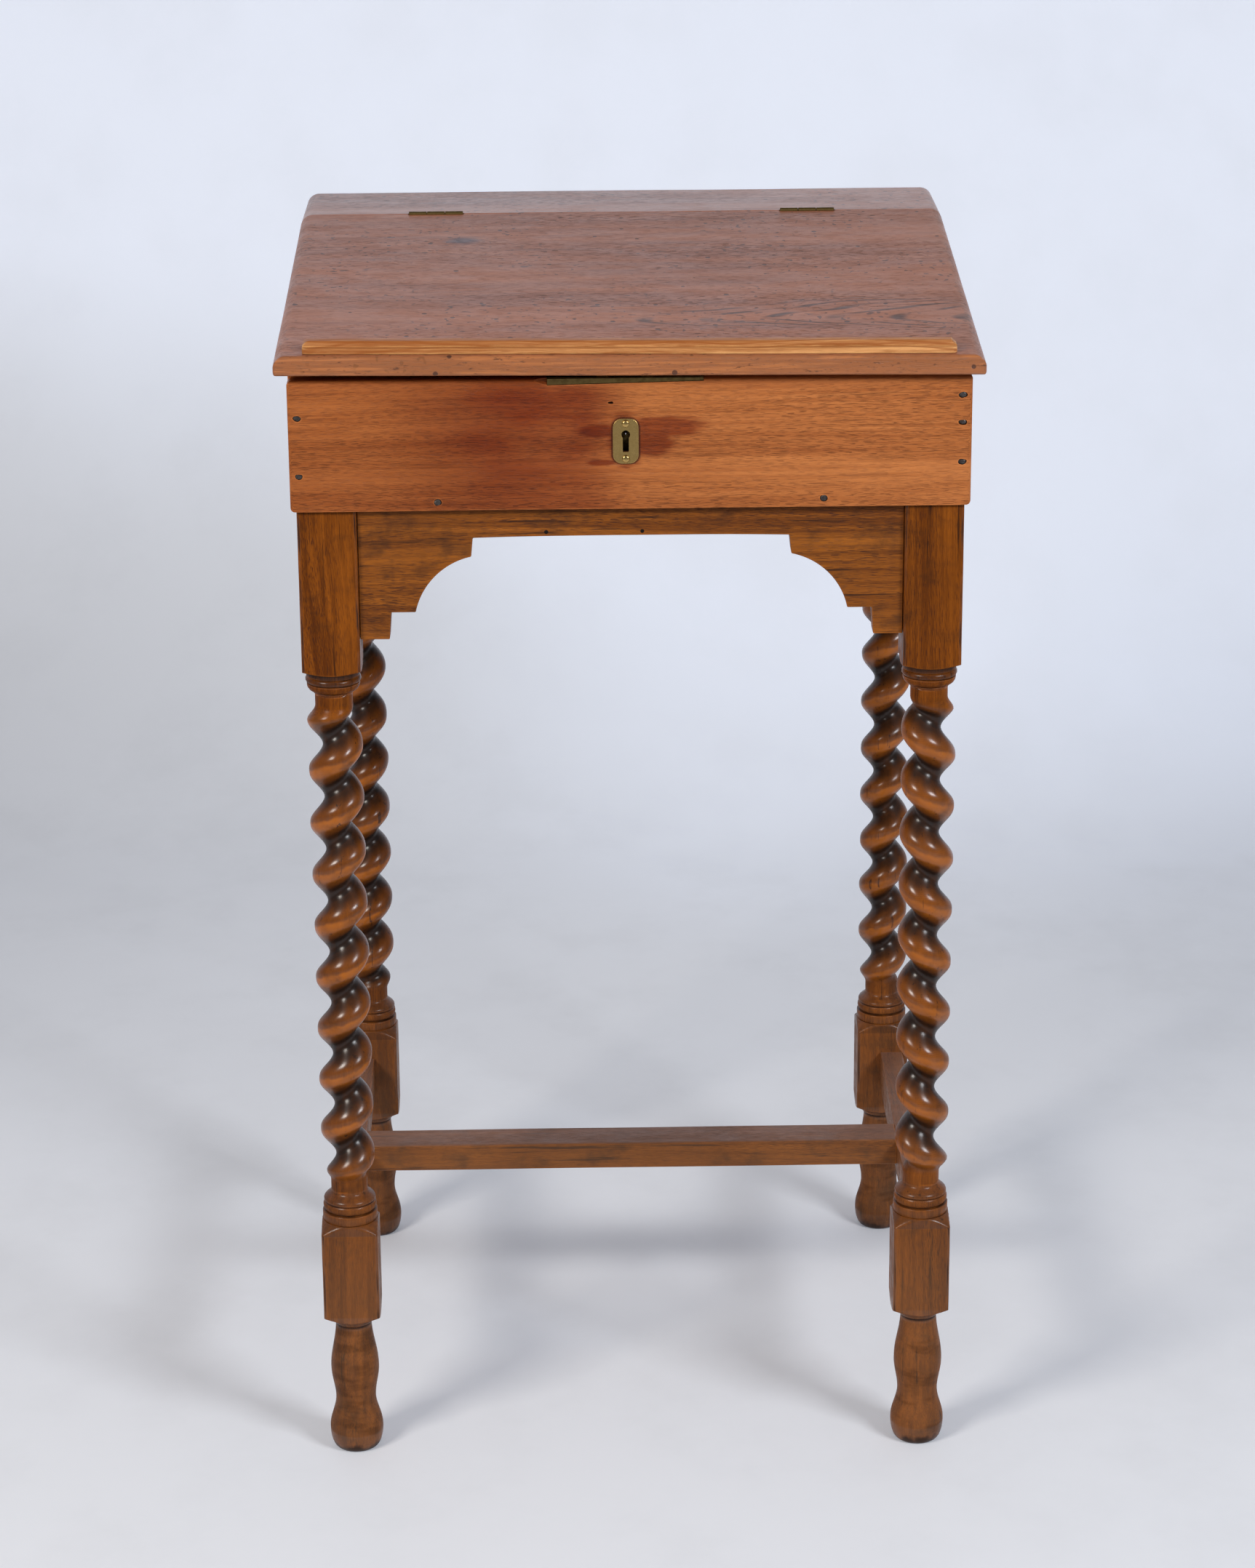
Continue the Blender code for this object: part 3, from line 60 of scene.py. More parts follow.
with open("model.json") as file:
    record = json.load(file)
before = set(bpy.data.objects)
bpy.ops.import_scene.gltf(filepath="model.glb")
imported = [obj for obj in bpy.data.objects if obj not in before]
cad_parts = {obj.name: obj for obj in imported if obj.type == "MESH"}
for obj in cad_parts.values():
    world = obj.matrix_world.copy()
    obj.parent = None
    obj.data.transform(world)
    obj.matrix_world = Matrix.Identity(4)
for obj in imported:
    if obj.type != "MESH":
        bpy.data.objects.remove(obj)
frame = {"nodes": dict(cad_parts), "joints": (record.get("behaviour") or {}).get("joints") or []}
CAD_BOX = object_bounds()

# Plan and heights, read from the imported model
LEFT_LEG_LOW, LEFT_LEG_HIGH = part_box("leg_front_left")
FRONT_LOW, FRONT_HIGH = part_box("box_front_board")
BACK_LOW, BACK_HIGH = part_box("box_back_board")
BOTTOM_LOW, BOTTOM_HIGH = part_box("box_bottom_board")
SIDE_LOW, SIDE_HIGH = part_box("box_right_board")
LEDGE_LOW, LEDGE_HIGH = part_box("ledge_board")
HINGE_Y = next(joint["pos_m"][1] for joint in frame["joints"] if joint["name"] == "lid_hinge")
LEG_HALF = (LEFT_LEG_HIGH.x - LEFT_LEG_LOW.x) / 2
LEG_HEIGHT = LEFT_LEG_HIGH.z
BOX_FRONT = FRONT_LOW.y
INNER_FRONT = FRONT_HIGH.y
BOX_HALF = FRONT_HIGH.x
BOX_BASE = FRONT_LOW.z
FRONT_BOARD_TOP = FRONT_HIGH.z
TOP_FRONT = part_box("lid_board")[0].y
TOP_HALF = LEDGE_HIGH.x
TOP_HEIGHT = LEDGE_HIGH.z
TOP_THICKNESS = LEDGE_HIGH.z - LEDGE_LOW.z
FIT_GAP = 0.0003

# Turned parts of a leg, from its top down
UPPER_BLOCK_HEIGHT = 0.1260
UPPER_SHOULDER = 0.0036
COLLAR_BAND = 0.0040
BAND_RADIUS = 0.0206
COLLAR_BEAD = 0.0056
OVOLO_RADIUS = 0.0204
COLLAR_HEIGHT = 0.0075
COLLAR_RADIUS = 0.0213
OVOLO_HEIGHT = 0.0085
FILLET_HEIGHT = 0.0025
FILLET_RADIUS = 0.0148
NECK_LENGTH = 0.0085
NECK_RADIUS = 0.0144
TWIST_FADE = 0.0135
TWIST_PITCH = 0.0426
OGEE_HEIGHT = 0.0085
OGEE_RADIUS = 0.0205
QUIRK_HEIGHT = 0.0010
QUIRK_DEPTH = 0.0011
BEAD_HEIGHT = 0.0070
BEAD_RADIUS = 0.0211
LOWER_COLLAR_HEIGHT = 0.0075
LOWER_COLLAR_RADIUS = 0.0217
LOWER_BLOCK_RISE = 0.1225
LOWER_BLOCK_HEIGHT = 0.0715
LOWER_BLOCK_TOP_SHOULDER = 0.0080
LOWER_BLOCK_BASE_SHOULDER = 0.0055
FOOT_RING_HEIGHT = 0.0060
FOOT_RING_RADIUS = 0.0169
FOOT_NECK_RADIUS = 0.0144
FOOT_SWELL = (0.0705, 0.0193)
FOOT_WAIST = (0.0437, 0.0161)
FOOT_BALL = (0.0167, 0.0214)
FOOT_RIM_RADIUS = 0.0155

# How a leg is meshed: how far its blocks' stations reach past their corners, the angle from which an edge
# stays sharp, and the numbers of columns and steps
CORNER_SPARE = 0.0010
LEG_SHARP_ANGLE = math.radians(48)
LEG_COLUMNS = 64
TWIST_RINGS_PER_TURN = 28
PROFILE_STEPS = 10
BLOCK_STEP = 0.009
TURN_PARTS = 16

# Columns of a leg drawn in towards the corners of its blocks: degrees within an eighth of a turn
CORNER_COLUMNS = (0.0, 11.0, 21.0, 30.0, 37.0, 41.5, 43.4, 44.3, 45.0)

# Column beside a corner where old polish gathers, and how far it spreads, in degrees
DIRT_COLUMN = 43.4
DIRT_REACH = 1.8

# Name, hand of the twist, and where its crest starts, in degrees from +X
LEGS = (
    ("leg_front_left", 1, -8.0),
    ("leg_front_right", -1, 250.0),
    ("leg_rear_left", 1, 174.0),
    ("leg_rear_right", 1, 302.0),
)

# Shaped lower edge of the aprons, as depths below their top
APRON_MIDDLE_DEPTH = 0.0235
APRON_BEAK_DEPTH = 0.0380
APRON_STEP_DEPTH = 0.0805
APRON_END_DEPTH = 0.1015
APRON_END_WIDTH = 0.0236
APRON_STEP_WIDTH = 0.0185
APRON_LEAN = 0.0014
SCALLOP_EASE = 11.5
SCALLOP_STEPS = 28
BOW_STEPS = 8

# Brads in the front apron: radius, places along X, and height above the lower edge
BRAD_RADIUS = 0.0016
BRAD_PLACES = (-0.0635, 0.0085)
BRAD_RISE = 0.0030

# Lid and ledge
LID_FRONT_GAP = 0.0026
LID_SLOPE = math.radians(5.56)
LID_WIND = 0.0046
LID_JOINT = 0.0010
FRONT_ARRIS_RADIUS = 0.0040
TOP_UNDER_ROUND = 0.0025
TOP_ROUND_STEPS = 10
TOP_STRIPS = 16

# Tongue of dark figure in the lid: its tip, how fast it closes behind and before, and its lines per metre
FIGURE_TIP = (0.000, -0.149)
FIGURE_SPREAD = (8.4, 17.0)
FIGURE_RINGS = 131.0

# Part of the lid that shows that figure: its middle and half sizes
FIGURE_ZONE = ((0.130, -0.138, 0.905), (0.165, 0.072, 0.2))

# Ink spot on the lid: right of the middle and behind it, and half sizes
INK_PLACE = (-0.128, 0.062)
INK_SIZE = (0.012, 0.010, 0.006)

# Depth of the scarred front edge of the lid, where it is whole and where it fades out
LID_EDGE = (0.0010, 0.0034)

# Pen rest
PEN_REST_LENGTH = 0.4820
PEN_REST_SETBACK = 0.0050
PEN_REST_DEPTH = 0.0150
PEN_REST_HEIGHT = 0.0080
PEN_REST_LIP_DEPTH = 0.0045
PEN_REST_LIP_HEIGHT = 0.0040
PEN_REST_ROUND = 0.0030
PEN_REST_END_ROUND = 0.0060
PEN_REST_CHAMFER = 0.0034
PEN_REST_LIP_ROUND = 0.0012
PEN_REST_STRIPS = 50

# Hinges and screws
HINGE_LENGTH = 0.0445
HINGE_SPAN = 0.3040
KNUCKLE_RADIUS = 0.0021
LEAF_THICKNESS = 0.0014
LEAF_HEIGHT = 0.0125
PIN_RADIUS = 0.0008
SCREW_SLOT = 0.0006
SCREW_SLOT_DEPTH = 0.0005
SCREW_HEAD_DEPTH = 0.0013

# Hammered nail heads: depths below the face of the board and radii, from the middle out and down to the shank
NAIL_HEAD = (
    (0.00010, 0.0006),
    (0.00012, 0.0013),
    (0.00020, 0.0019),
    (0.00045, 0.0024),
    (0.00080, 0.0022),
    (0.00120, 0.0014),
)
NAIL_SPREAD_RINGS = 5
NAIL_TIP_RADIUS = 0.0006
NAIL_COLUMNS = 14
PIT_DEPTH = 0.0010
PIT_RADII = (0.0030, 0.0026)

# Old nick above the escutcheon: right of and above its middle, depth, radii, and how far it is drawn out
NICK_PLACE = (-0.011, 0.029)
NICK_DEPTH = 0.0020
NICK_RADII = (0.0017, 0.0011)
NICK_SPREAD = (1.7, 0.85)

# Lock, keyhole and escutcheon
LOCK_X = -0.0035
LOCK_WIDTH = 0.0640
LOCK_DEPTH = 0.0110
LOCK_HEIGHT = 0.0630
SELVEDGE_LENGTH = 0.1160
SELVEDGE_WIDTH = 0.0125
SELVEDGE_THICKNESS = 0.0018
LIP_DEPTH_LEFT = 0.0050
LIP_DEPTH_RIGHT = 0.0028
LIP_SETBACK = 0.0007
CHIP_LENGTH = 0.0210
CHIP_SHAPE = ((0.0, 0.0006), (0.2, 0.0016), (0.45, 0.0013), (0.7, 0.0026), (1.0, 0.0034))
KEYHOLE_Z = 0.8459
KEYHOLE_RADIUS = 0.0033
KEYHOLE_SLOT_WIDTH = 0.0046
KEYHOLE_SLOT_LENGTH = 0.0133
ESCUTCHEON_Z = 0.8409
ESCUTCHEON_WIDTH = 0.0194
ESCUTCHEON_HEIGHT = 0.0344
ESCUTCHEON_CORNER = 0.0070
DIRT_WIDTH = 0.0018

# Red polish on the front board, along X: its left and its right edge, each from bare to full
RED_LEFT = (-0.205, -0.095)
RED_RIGHT = (0.010, -0.040)

# Lobes of the stain around the escutcheon: place right and up of its middle, and half sizes
STAIN_LOBES = (
    (0.030, 0.0105, 0.027, 0.0080),
    (0.018, -0.0020, 0.018, 0.0100),
    (-0.020, 0.0075, 0.016, 0.0045),
    (-0.018, -0.0165, 0.011, 0.0022),
    (0.000, 0.0000, 0.0125, 0.0195),
)
ESCUTCHEON_PIN_SPAN = 0.0268
PIN_HEAD_RADIUS = 0.0028
PIN_HEAD_HEIGHT = 0.0014
PIN_HEAD_STEPS = 8
PIN_SHANK_RADIUS = 0.0009
PIN_SHANK_LENGTH = 0.0044

# Cutting and shading: how far a cutter reaches out, the largest share of a piece that its cuts may take,
# points that are one point, the angle from which an edge is eased, and the angles from which it stays sharp
CUT_REACH = 0.004
CUT_SHARE = 0.45
SAME_POINT = 1e-6
EASED_ANGLE = math.radians(38)
SHARP_ANGLE = math.radians(36)
METAL_SHARP_ANGLE = math.radians(40)

# Start of the small irregularities that hand work leaves
HAND_SEED = 7

# Camera, as it stood for the photograph
CAMERA_PLACE = (-0.0473, -3.16975, 1.5727)
CAMERA_PITCH = math.radians(18.78)
CAMERA_YAW = math.radians(0.84)
CAMERA_ROLL = math.radians(-0.44)
CAMERA_SENSOR = 36.0

# Floor that bends up into a wall, and the two softboxes, which stand alike on both sides
SWEEP_HALF = 6.0
SWEEP_BEND = 1.15
SWEEP_RADIUS = 0.9
SWEEP_STEPS = 24
SWEEP_HEIGHT = 5.0
SOFTBOX_PLACE = (1.70, -1.85, 2.0)
SOFTBOX_SIZE = (0.8, 0.6)
SOFTBOX_TARGET = (0.0, 0.0, 0.55)


# Settings that a user would change


def length(name, description, default):
    return bpy.props.FloatProperty(
        name=name,
        description=description,
        default=default,
        min=0.0,
        precision=4,
        subtype="DISTANCE",
        unit="LENGTH",
    )


def power(name, description, default):
    return bpy.props.FloatProperty(name=name, description=description, default=default, min=0.0, unit="POWER")


def share(name, description, default):
    return bpy.props.FloatProperty(
        name=name, description=description, default=default, min=0.0, max=1.0, subtype="FACTOR"
    )


def colour(name, description, default):
    return bpy.props.FloatVectorProperty(
        name=name, description=description, default=default, size=3, min=0.0, max=1.0, subtype="COLOR"
    )


class LegSettings(bpy.types.PropertyGroup):
    """Sizes of the turned legs."""

    crest: length("Crest radius", "Radius of the twist at its crest", 0.0210)
    groove: length("Groove radius", "Radius of the twist at the bottom of its groove", 0.0096)
    fullness: share("Fullness", "Roundness of the rope between its grooves: less is fuller", 0.78)
    tremble: length("Tremble", "How far the carved rope strays from its true line", 0.0004)
    arris: length("Block arris", "Radius of the eased corners of the square blocks", 0.0014)


class BoardSettings(bpy.types.PropertyGroup):
    """Sizes of the planed boards."""

    arris: length("Arris", "Width of the eased edges of boards", 0.0010)
    worn_arris: length("Worn arris", "Width of the edges that hands and feet have rounded", 0.0024)
    wander: length("Wander", "How far a hand-planed edge strays from straight", 0.00025)
    edge_round: length("Top edge", "Radius of the moulded side edges of the top", 0.0100)
    front_round: length("Front edge", "Radius of the rounded front edge of the lid", 0.0036)
    corner_round: length("Box corner", "Radius of the rubbed corners of the front board", 0.0034)
    bow: length("Apron bow", "How far the middle of an apron's lower edge rises", 0.0013)


class WoodSettings(bpy.types.PropertyGroup):
    """Colours of the woods."""

    top_light: colour("Top, light", "Light streaks of the lid and ledge", (0.410, 0.140, 0.058))
    top_dark: colour("Top, dark", "Dark streaks of the lid and ledge", (0.170, 0.050, 0.022))
    front_light: colour("Box, light", "Light streaks of the box boards", (0.560, 0.196, 0.056))
    front_dark: colour("Box, dark", "Dark streaks of the box boards", (0.310, 0.086, 0.021))
    front_red: colour("Box, red", "Tint of the red stain on the front board", (0.400, 0.155, 0.085))
    front_shade: colour("Box, shade", "Tint of the darker left half of the front board", (0.62, 0.48, 0.34))
    oak_light: colour("Legs, light", "Light streaks of the legs", (0.275, 0.076, 0.0070))
    oak_dark: colour("Legs, dark", "Dark streaks of the legs", (0.100, 0.025, 0.0030))
    rail_light: colour("Rails, light", "Light streaks of aprons and stretchers", (0.335, 0.102, 0.0105))
    rail_dark: colour("Rails, dark", "Dark streaks of aprons and stretchers", (0.135, 0.036, 0.0040))
    # Grey on what faces up: partly bloom, partly painted sheen
    rail_bloom_and_sheen: colour("Rails, bloom", "Greyish bloom on what faces up", (0.19, 0.130, 0.118))
    oak_stain: colour("Oak, stained", "Dark patches of legs, aprons and stretchers", (0.040, 0.0150, 0.0060))
    floor_dust: colour("Floor dust", "Dust and scuffs on what is near the floor", (0.340, 0.195, 0.115))
    oak_rope: colour("Twist", "Polished rope of the twist", (0.180, 0.050, 0.0042))
    oak_crest: colour("Twist, rubbed", "Rubbed crest of the twist", (0.420, 0.116, 0.0055))
    # Painted shade on the rope's upper and under sides, as well as old polish in grooves and cracks
    oak_groove_and_shade: colour("Twist, groove", "Old polish in the grooves of the twist", (0.015, 0.0068, 0.0042))
    pine_light: colour("Pine, light", "Light wood of the pen rest", (0.910, 0.470, 0.185))
    pine_dark: colour("Pine, dark", "Dark lines of the pen rest", (0.300, 0.090, 0.020))
    ink: colour("Ink", "Old ink spot on the lid", (0.030, 0.026, 0.045))
    pore: colour("Pores", "Open pores in all woods", (0.050, 0.015, 0.007))


class MetalSettings(bpy.types.PropertyGroup):
    """Colours of the metals."""

    brass: colour("Brass", "Brass of lock, hinges and escutcheon", (0.50, 0.332, 0.116))
    brass_dull: colour("Dull brass", "Brass that has gone dull", (0.25, 0.165, 0.060))
    steel: colour("Steel", "Rubbed end of the pin in the keyhole", (0.62, 0.62, 0.63))
    iron: colour("Iron", "Bare iron of nail heads and lock case", (0.115, 0.103, 0.098))
    iron_dark: colour("Dark iron", "Rust and dirt on iron", (0.032, 0.024, 0.021))


class StageSettings(bpy.types.PropertyGroup):
    """Light, floor and lens."""

    floor: colour("Floor", "Painted floor", (0.715, 0.72, 0.745))
    wall: colour("Wall", "Painted wall behind", (0.70, 0.722, 0.780))
    glow: colour("Wall glow", "How much whiter the wall looks than its light makes it", (0.30, 0.324, 0.385))
    left_tint: colour("Left tint", "Colour of the softbox on the left", (1.0, 0.95, 0.88))
    right_tint: colour("Right tint", "Colour of the softbox on the right", (0.93, 0.96, 1.0))
    fill_tint: colour("Fill tint", "Colour of the light from all around", (0.93, 0.96, 1.0))
    left_power: power("Left lamp", "Power of the softbox on the left", 44.0)
    right_power: power("Right lamp", "Power of the softbox on the right", 44.0)
    fill: bpy.props.FloatProperty(
        name="Fill", description="Strength of the light from all around", default=0.25, min=0.0
    )
    lens: bpy.props.FloatProperty(
        name="Lens", description="Focal length in millimetres", default=93.506, min=1.0, unit="CAMERA"
    )


class TableSettings(bpy.types.PropertyGroup):
    """All settings of the writing table."""

    legs: bpy.props.PointerProperty(type=LegSettings, name="Legs", description="Sizes of the legs")
    boards: bpy.props.PointerProperty(type=BoardSettings, name="Boards", description="Sizes of the boards")
    woods: bpy.props.PointerProperty(type=WoodSettings, name="Woods", description="Colours of the woods")
    metals: bpy.props.PointerProperty(type=MetalSettings, name="Metals", description="Colours of the metals")
    stage: bpy.props.PointerProperty(type=StageSettings, name="Stage", description="Light, floor and lens")


def settings():
    return bpy.context.scene.writing_table


# Shader nodes


class Desk:
    """Puts linked nodes in one node tree."""

    def __init__(self, tree):
        self.nodes = tree.nodes
        self.links = tree.links

    def put(self, kind, values, **options):
        node = self.nodes.new(kind)
        for name, value in options.items():
            setattr(node, name, value)
        for key, value in values.items():
            self.feed(node.inputs[key], value)
        return node

    def feed(self, socket, value):
        if isinstance(value, bpy.types.NodeSocket):
            self.links.new(value, socket)
        else:
            socket.default_value = value

    def math(self, operation, first, second=0.0):
        return self.put("ShaderNodeMath", {0: first, 1: second}, operation=operation).outputs[0]

    def chain(self, operation, values):
        found = values[0]
        for value in values[1:]:
            found = self.math(operation, found, value)
        return found

    def most(self, *masks):
        return self.chain("MAXIMUM", masks)

    def times(self, *values):
        return self.chain("MULTIPLY", values)

    def plus(self, *values):
        return self.chain("ADD", values)

    def minus(self, first, second):
        return self.math("SUBTRACT", first, second)

    def mix(self, factor, first, second, blend="MIX"):
        values = {0: factor, 6: as_colour(first), 7: as_colour(second)}
        return self.put("ShaderNodeMix", values, data_type="RGBA", blend_type=blend).outputs[2]

    def stretch(self, vector, factors):
        return self.put("ShaderNodeVectorMath", {0: vector, 1: factors}, operation="MULTIPLY").outputs[0]

    def shift(self, vector, offset):
        return self.put("ShaderNodeVectorMath", {0: vector, 1: offset}, operation="ADD").outputs[0]

    def noise(self, vector, factors, detail=2.0, roughness=0.5):
        place = self.stretch(vector, factors)
        values = {"Vector": place, "Scale": 1.0, "Detail": detail, "Roughness": roughness}
        return self.put("ShaderNodeTexNoise", values, noise_dimensions="3D").outputs["Fac"]

    def ramp(self, value, low, high, start=0.0, end=1.0):
        values = {"Value": value, "From Min": low, "From Max": high, "To Min": start, "To Max": end}
        return self.put("ShaderNodeMapRange", values, interpolation_type="SMOOTHSTEP").outputs[0]

    def parts(self, vector):
        return self.put("ShaderNodeSeparateXYZ", {0: vector}).outputs

    def vector(self, x, y, z):
        return self.put("ShaderNodeCombineXYZ", {0: x, 1: y, 2: z}).outputs[0]

    def attribute(self, name):
        return self.put("ShaderNodeAttribute", {}, attribute_name=name).outputs["Fac"]

    def group(self, tree, **values):
        node = self.nodes.new("ShaderNodeGroup")
        node.node_tree = tree
        for name, value in values.items():
            self.feed(node.inputs[name.replace("_", " ")], as_colour(value))
        return node.outputs


def as_colour(value):
    """A colour property as four numbers, and anything else as it is."""
    if isinstance(value, bpy.types.NodeSocket) or not hasattr(value, "__len__"):
        return value
    return (*value, 1.0) if len(value) == 3 else tuple(value)


def shaded(base, amount):
    """A colour made darker, or paler where the amount is over 1."""
    return tuple(min(1.0, amount * part) for part in base)


def new_group(name, inputs, outputs):
    """Node group with named sockets, its desk, its inputs, and the node that takes its outputs."""
    tree = bpy.data.node_groups.new(name, "ShaderNodeTree")
    for socket, kind, default in inputs:
        made = tree.interface.new_socket(name=socket, in_out="INPUT", socket_type=f"NodeSocket{kind}")
        if default is not None:
            made.default_value = default
    for socket, kind in outputs:
        tree.interface.new_socket(name=socket, in_out="OUTPUT", socket_type=f"NodeSocket{kind}")
    start = tree.nodes.new("NodeGroupInput").outputs
    end = tree.nodes.new("NodeGroupOutput").inputs
    return tree, Desk(tree), start, end


def plank_figure():
    """Planed wood: broad bands, fine streaks and open pores, with the grain along X of its vector."""
    name = "Plank figure"
    if name in bpy.data.node_groups:
        return bpy.data.node_groups[name]
    tree, desk, start, end = new_group(
        name,
        (
            ("Grain", "Vector", None),
            ("Light", "Color", (0.5, 0.3, 0.1, 1.0)),
            ("Dark", "Color", (0.2, 0.1, 0.05, 1.0)),
            ("Pore Color", "Color", (0.05, 0.02, 0.01, 1.0)),
            ("Pore Amount", "Float", 0.8),
            ("Contrast", "Float", 1.0),
        ),
        (("Color", "Color"), ("Height", "Float"), ("Pores", "Float")),
    )
    grain = start["Grain"]
    bend = desk.noise(grain, (2.2, 11.0, 11.0), 1.0)
    bend = desk.times(desk.minus(bend, 0.5), 0.026)
    bent = desk.shift(grain, desk.vector(0.0, bend, bend))
    broad = desk.noise(bent, (1.5, 42.0, 42.0), 2.0, 0.55)
    streak = desk.noise(bent, (4.5, 300.0, 300.0), 2.0, 0.6)
    fibre = desk.noise(bent, (70.0, 2600.0, 2600.0), 1.0)
    tone = desk.plus(desk.times(broad, 0.40), desk.times(streak, 0.42))
    tone = desk.plus(tone, desk.times(fibre, 0.18))
    tone = desk.plus(desk.times(desk.minus(tone, 0.5), start["Contrast"]), 0.5)
    tone = desk.ramp(tone, 0.36, 0.64)
    base = desk.mix(tone, start["Dark"], start["Light"])
    dash = desk.ramp(desk.noise(bent, (130.0, 3000.0, 3000.0), 0.0), 0.585, 0.66)
    belt = desk.ramp(broad, 0.64, 0.40, 0.45, 1.0)
    pores = desk.times(dash, belt, start["Pore Amount"])
    desk.feed(end["Color"], desk.mix(pores, base, start["Pore Color"]))
    desk.feed(end["Height"], desk.minus(desk.times(fibre, 0.35), pores))
    desk.feed(end["Pores"], pores)
    return tree


def worn_arris():
    """Mask of the edges that have been rubbed, broken up along their length."""
    name = "Worn arris"
    if name in bpy.data.node_groups:
        return bpy.data.node_groups[name]
    tree, desk, start, end = new_group(
        name,
        (("Place", "Vector", None), ("Reach", "Float", 0.002), ("Amount", "Float", 1.0)),
        (("Edge", "Float"),),
    )
    rounded = desk.put("ShaderNodeBevel", {"Radius": start["Reach"]}, samples=4).outputs[0]
    true = desk.nodes.new("ShaderNodeNewGeometry").outputs["True Normal"]
    facing = desk.put("ShaderNodeVectorMath", {0: rounded, 1: true}, operation="DOT_PRODUCT").outputs["Value"]
    edge = desk.ramp(facing, 0.985, 0.80)
    broken = desk.ramp(desk.noise(start["Place"], (75.0, 75.0, 75.0), 1.0), 0.32, 0.62, 0.2, 1.0)
    desk.feed(end["Edge"], desk.times(edge, broken, start["Amount"]))
    return tree


def old_marks():
    """Dents, ink spots and blotches from long use."""
    name = "Old marks"
    if name in bpy.data.node_groups:
        return bpy.data.node_groups[name]
    tree, desk, start, end = new_group(
        name,
        (("Place", "Vector", None), ("Dent Spacing", "Float", 0.012), ("Dent Size", "Float", 0.0012)),
        (("Dents", "Float"), ("Blotch", "Float"), ("Smear", "Float")),
    )
    count = desk.math("DIVIDE", 1.0, start["Dent Spacing"])
    cells = desk.put("ShaderNodeTexVoronoi", {"Vector": start["Place"], "Scale": count, "Randomness": 1.0})
    chance = desk.parts(cells.outputs["Color"])
    size = desk.times(count, start["Dent Size"], desk.ramp(chance[0], 0.72, 1.0))
    dents = desk.ramp(desk.minus(size, cells.outputs["Distance"]), 0.0, 0.06)
    desk.feed(end["Dents"], dents)
    desk.feed(end["Blotch"], desk.ramp(desk.noise(start["Place"], (9.0, 9.0, 9.0), 2.0, 0.55), 0.32, 0.68))
    desk.feed(end["Smear"], desk.ramp(desk.noise(start["Place"], (22.0, 60.0, 60.0), 2.0, 0.6), 0.30, 0.70))
    return tree


def oak_stain():
    """Old oak: dark patches where polish has gathered, and long cracks along the grain."""
    name = "Oak stain"
    if name in bpy.data.node_groups:
        return bpy.data.node_groups[name]
    tree, desk, start, end = new_group(
        name, (("Grain", "Vector", None), ("Place", "Vector", None)), (("Patch", "Float"), ("Crack", "Float"))
    )
    patch = desk.noise(start["Place"], (34.0, 34.0, 46.0), 4.0, 0.62)
    desk.feed(end["Patch"], desk.ramp(patch, 0.48, 0.74))
    crack = desk.noise(start["Grain"], (8.0, 230.0, 230.0), 3.0, 0.66)
    desk.feed(end["Crack"], desk.ramp(crack, 0.60, 0.70))
    return tree


def stained_oak(finish, colour_in, axis, seed):
    """A colour of oak with its stains and cracks, and with dust on what is near the floor."""
    desk = finish.desk
    woods = settings().woods
    stain = desk.group(oak_stain(), Grain=finish.grain(axis, seed), Place=finish.place)
    toned = desk.mix(desk.times(stain["Patch"], 0.60), colour_in, woods.oak_stain)
    toned = desk.mix(desk.times(stain["Crack"], 0.75), toned, woods.oak_groove_and_shade)
    low = desk.ramp(desk.parts(finish.place)[2], 0.30, 0.12)
    return desk.mix(desk.times(low, 0.20), toned, woods.floor_dust)


class Finish:
    """One material being made: its desk, its place on the piece, and its shader."""

    def __init__(self, name):
        self.material = bpy.data.materials.new(name)
        self.material.use_nodes = True
        self.desk = Desk(self.material.node_tree)
        self.shader = self.material.node_tree.nodes["Principled BSDF"]
        self.place = self.desk.nodes.new("ShaderNodeTexCoord").outputs["Object"]

    def grain(self, axis, seed=0.0, across=1.0):
        """Place with the grain's own direction first, and coarser across it where across is less than 1."""
        x, y, z = self.desk.parts(self.place)
        ordered = {"X": (x, y, z), "Y": (y, x, z), "Z": (z, x, y)}[axis]
        shifted = self.desk.shift(self.desk.vector(*ordered), (seed, seed * 0.7, seed * 1.3))
        return self.desk.stretch(shifted, (1.0, across, across))

    def set(self, **values):
        for name, value in values.items():
            self.desk.feed(self.shader.inputs[name.replace("_", " ")], value)

    def bump(self, height, distance):
        values = {"Height": height, "Distance": distance, "Strength": 1.0}
        self.set(Normal=self.desk.put("ShaderNodeBump", values).outputs[0])


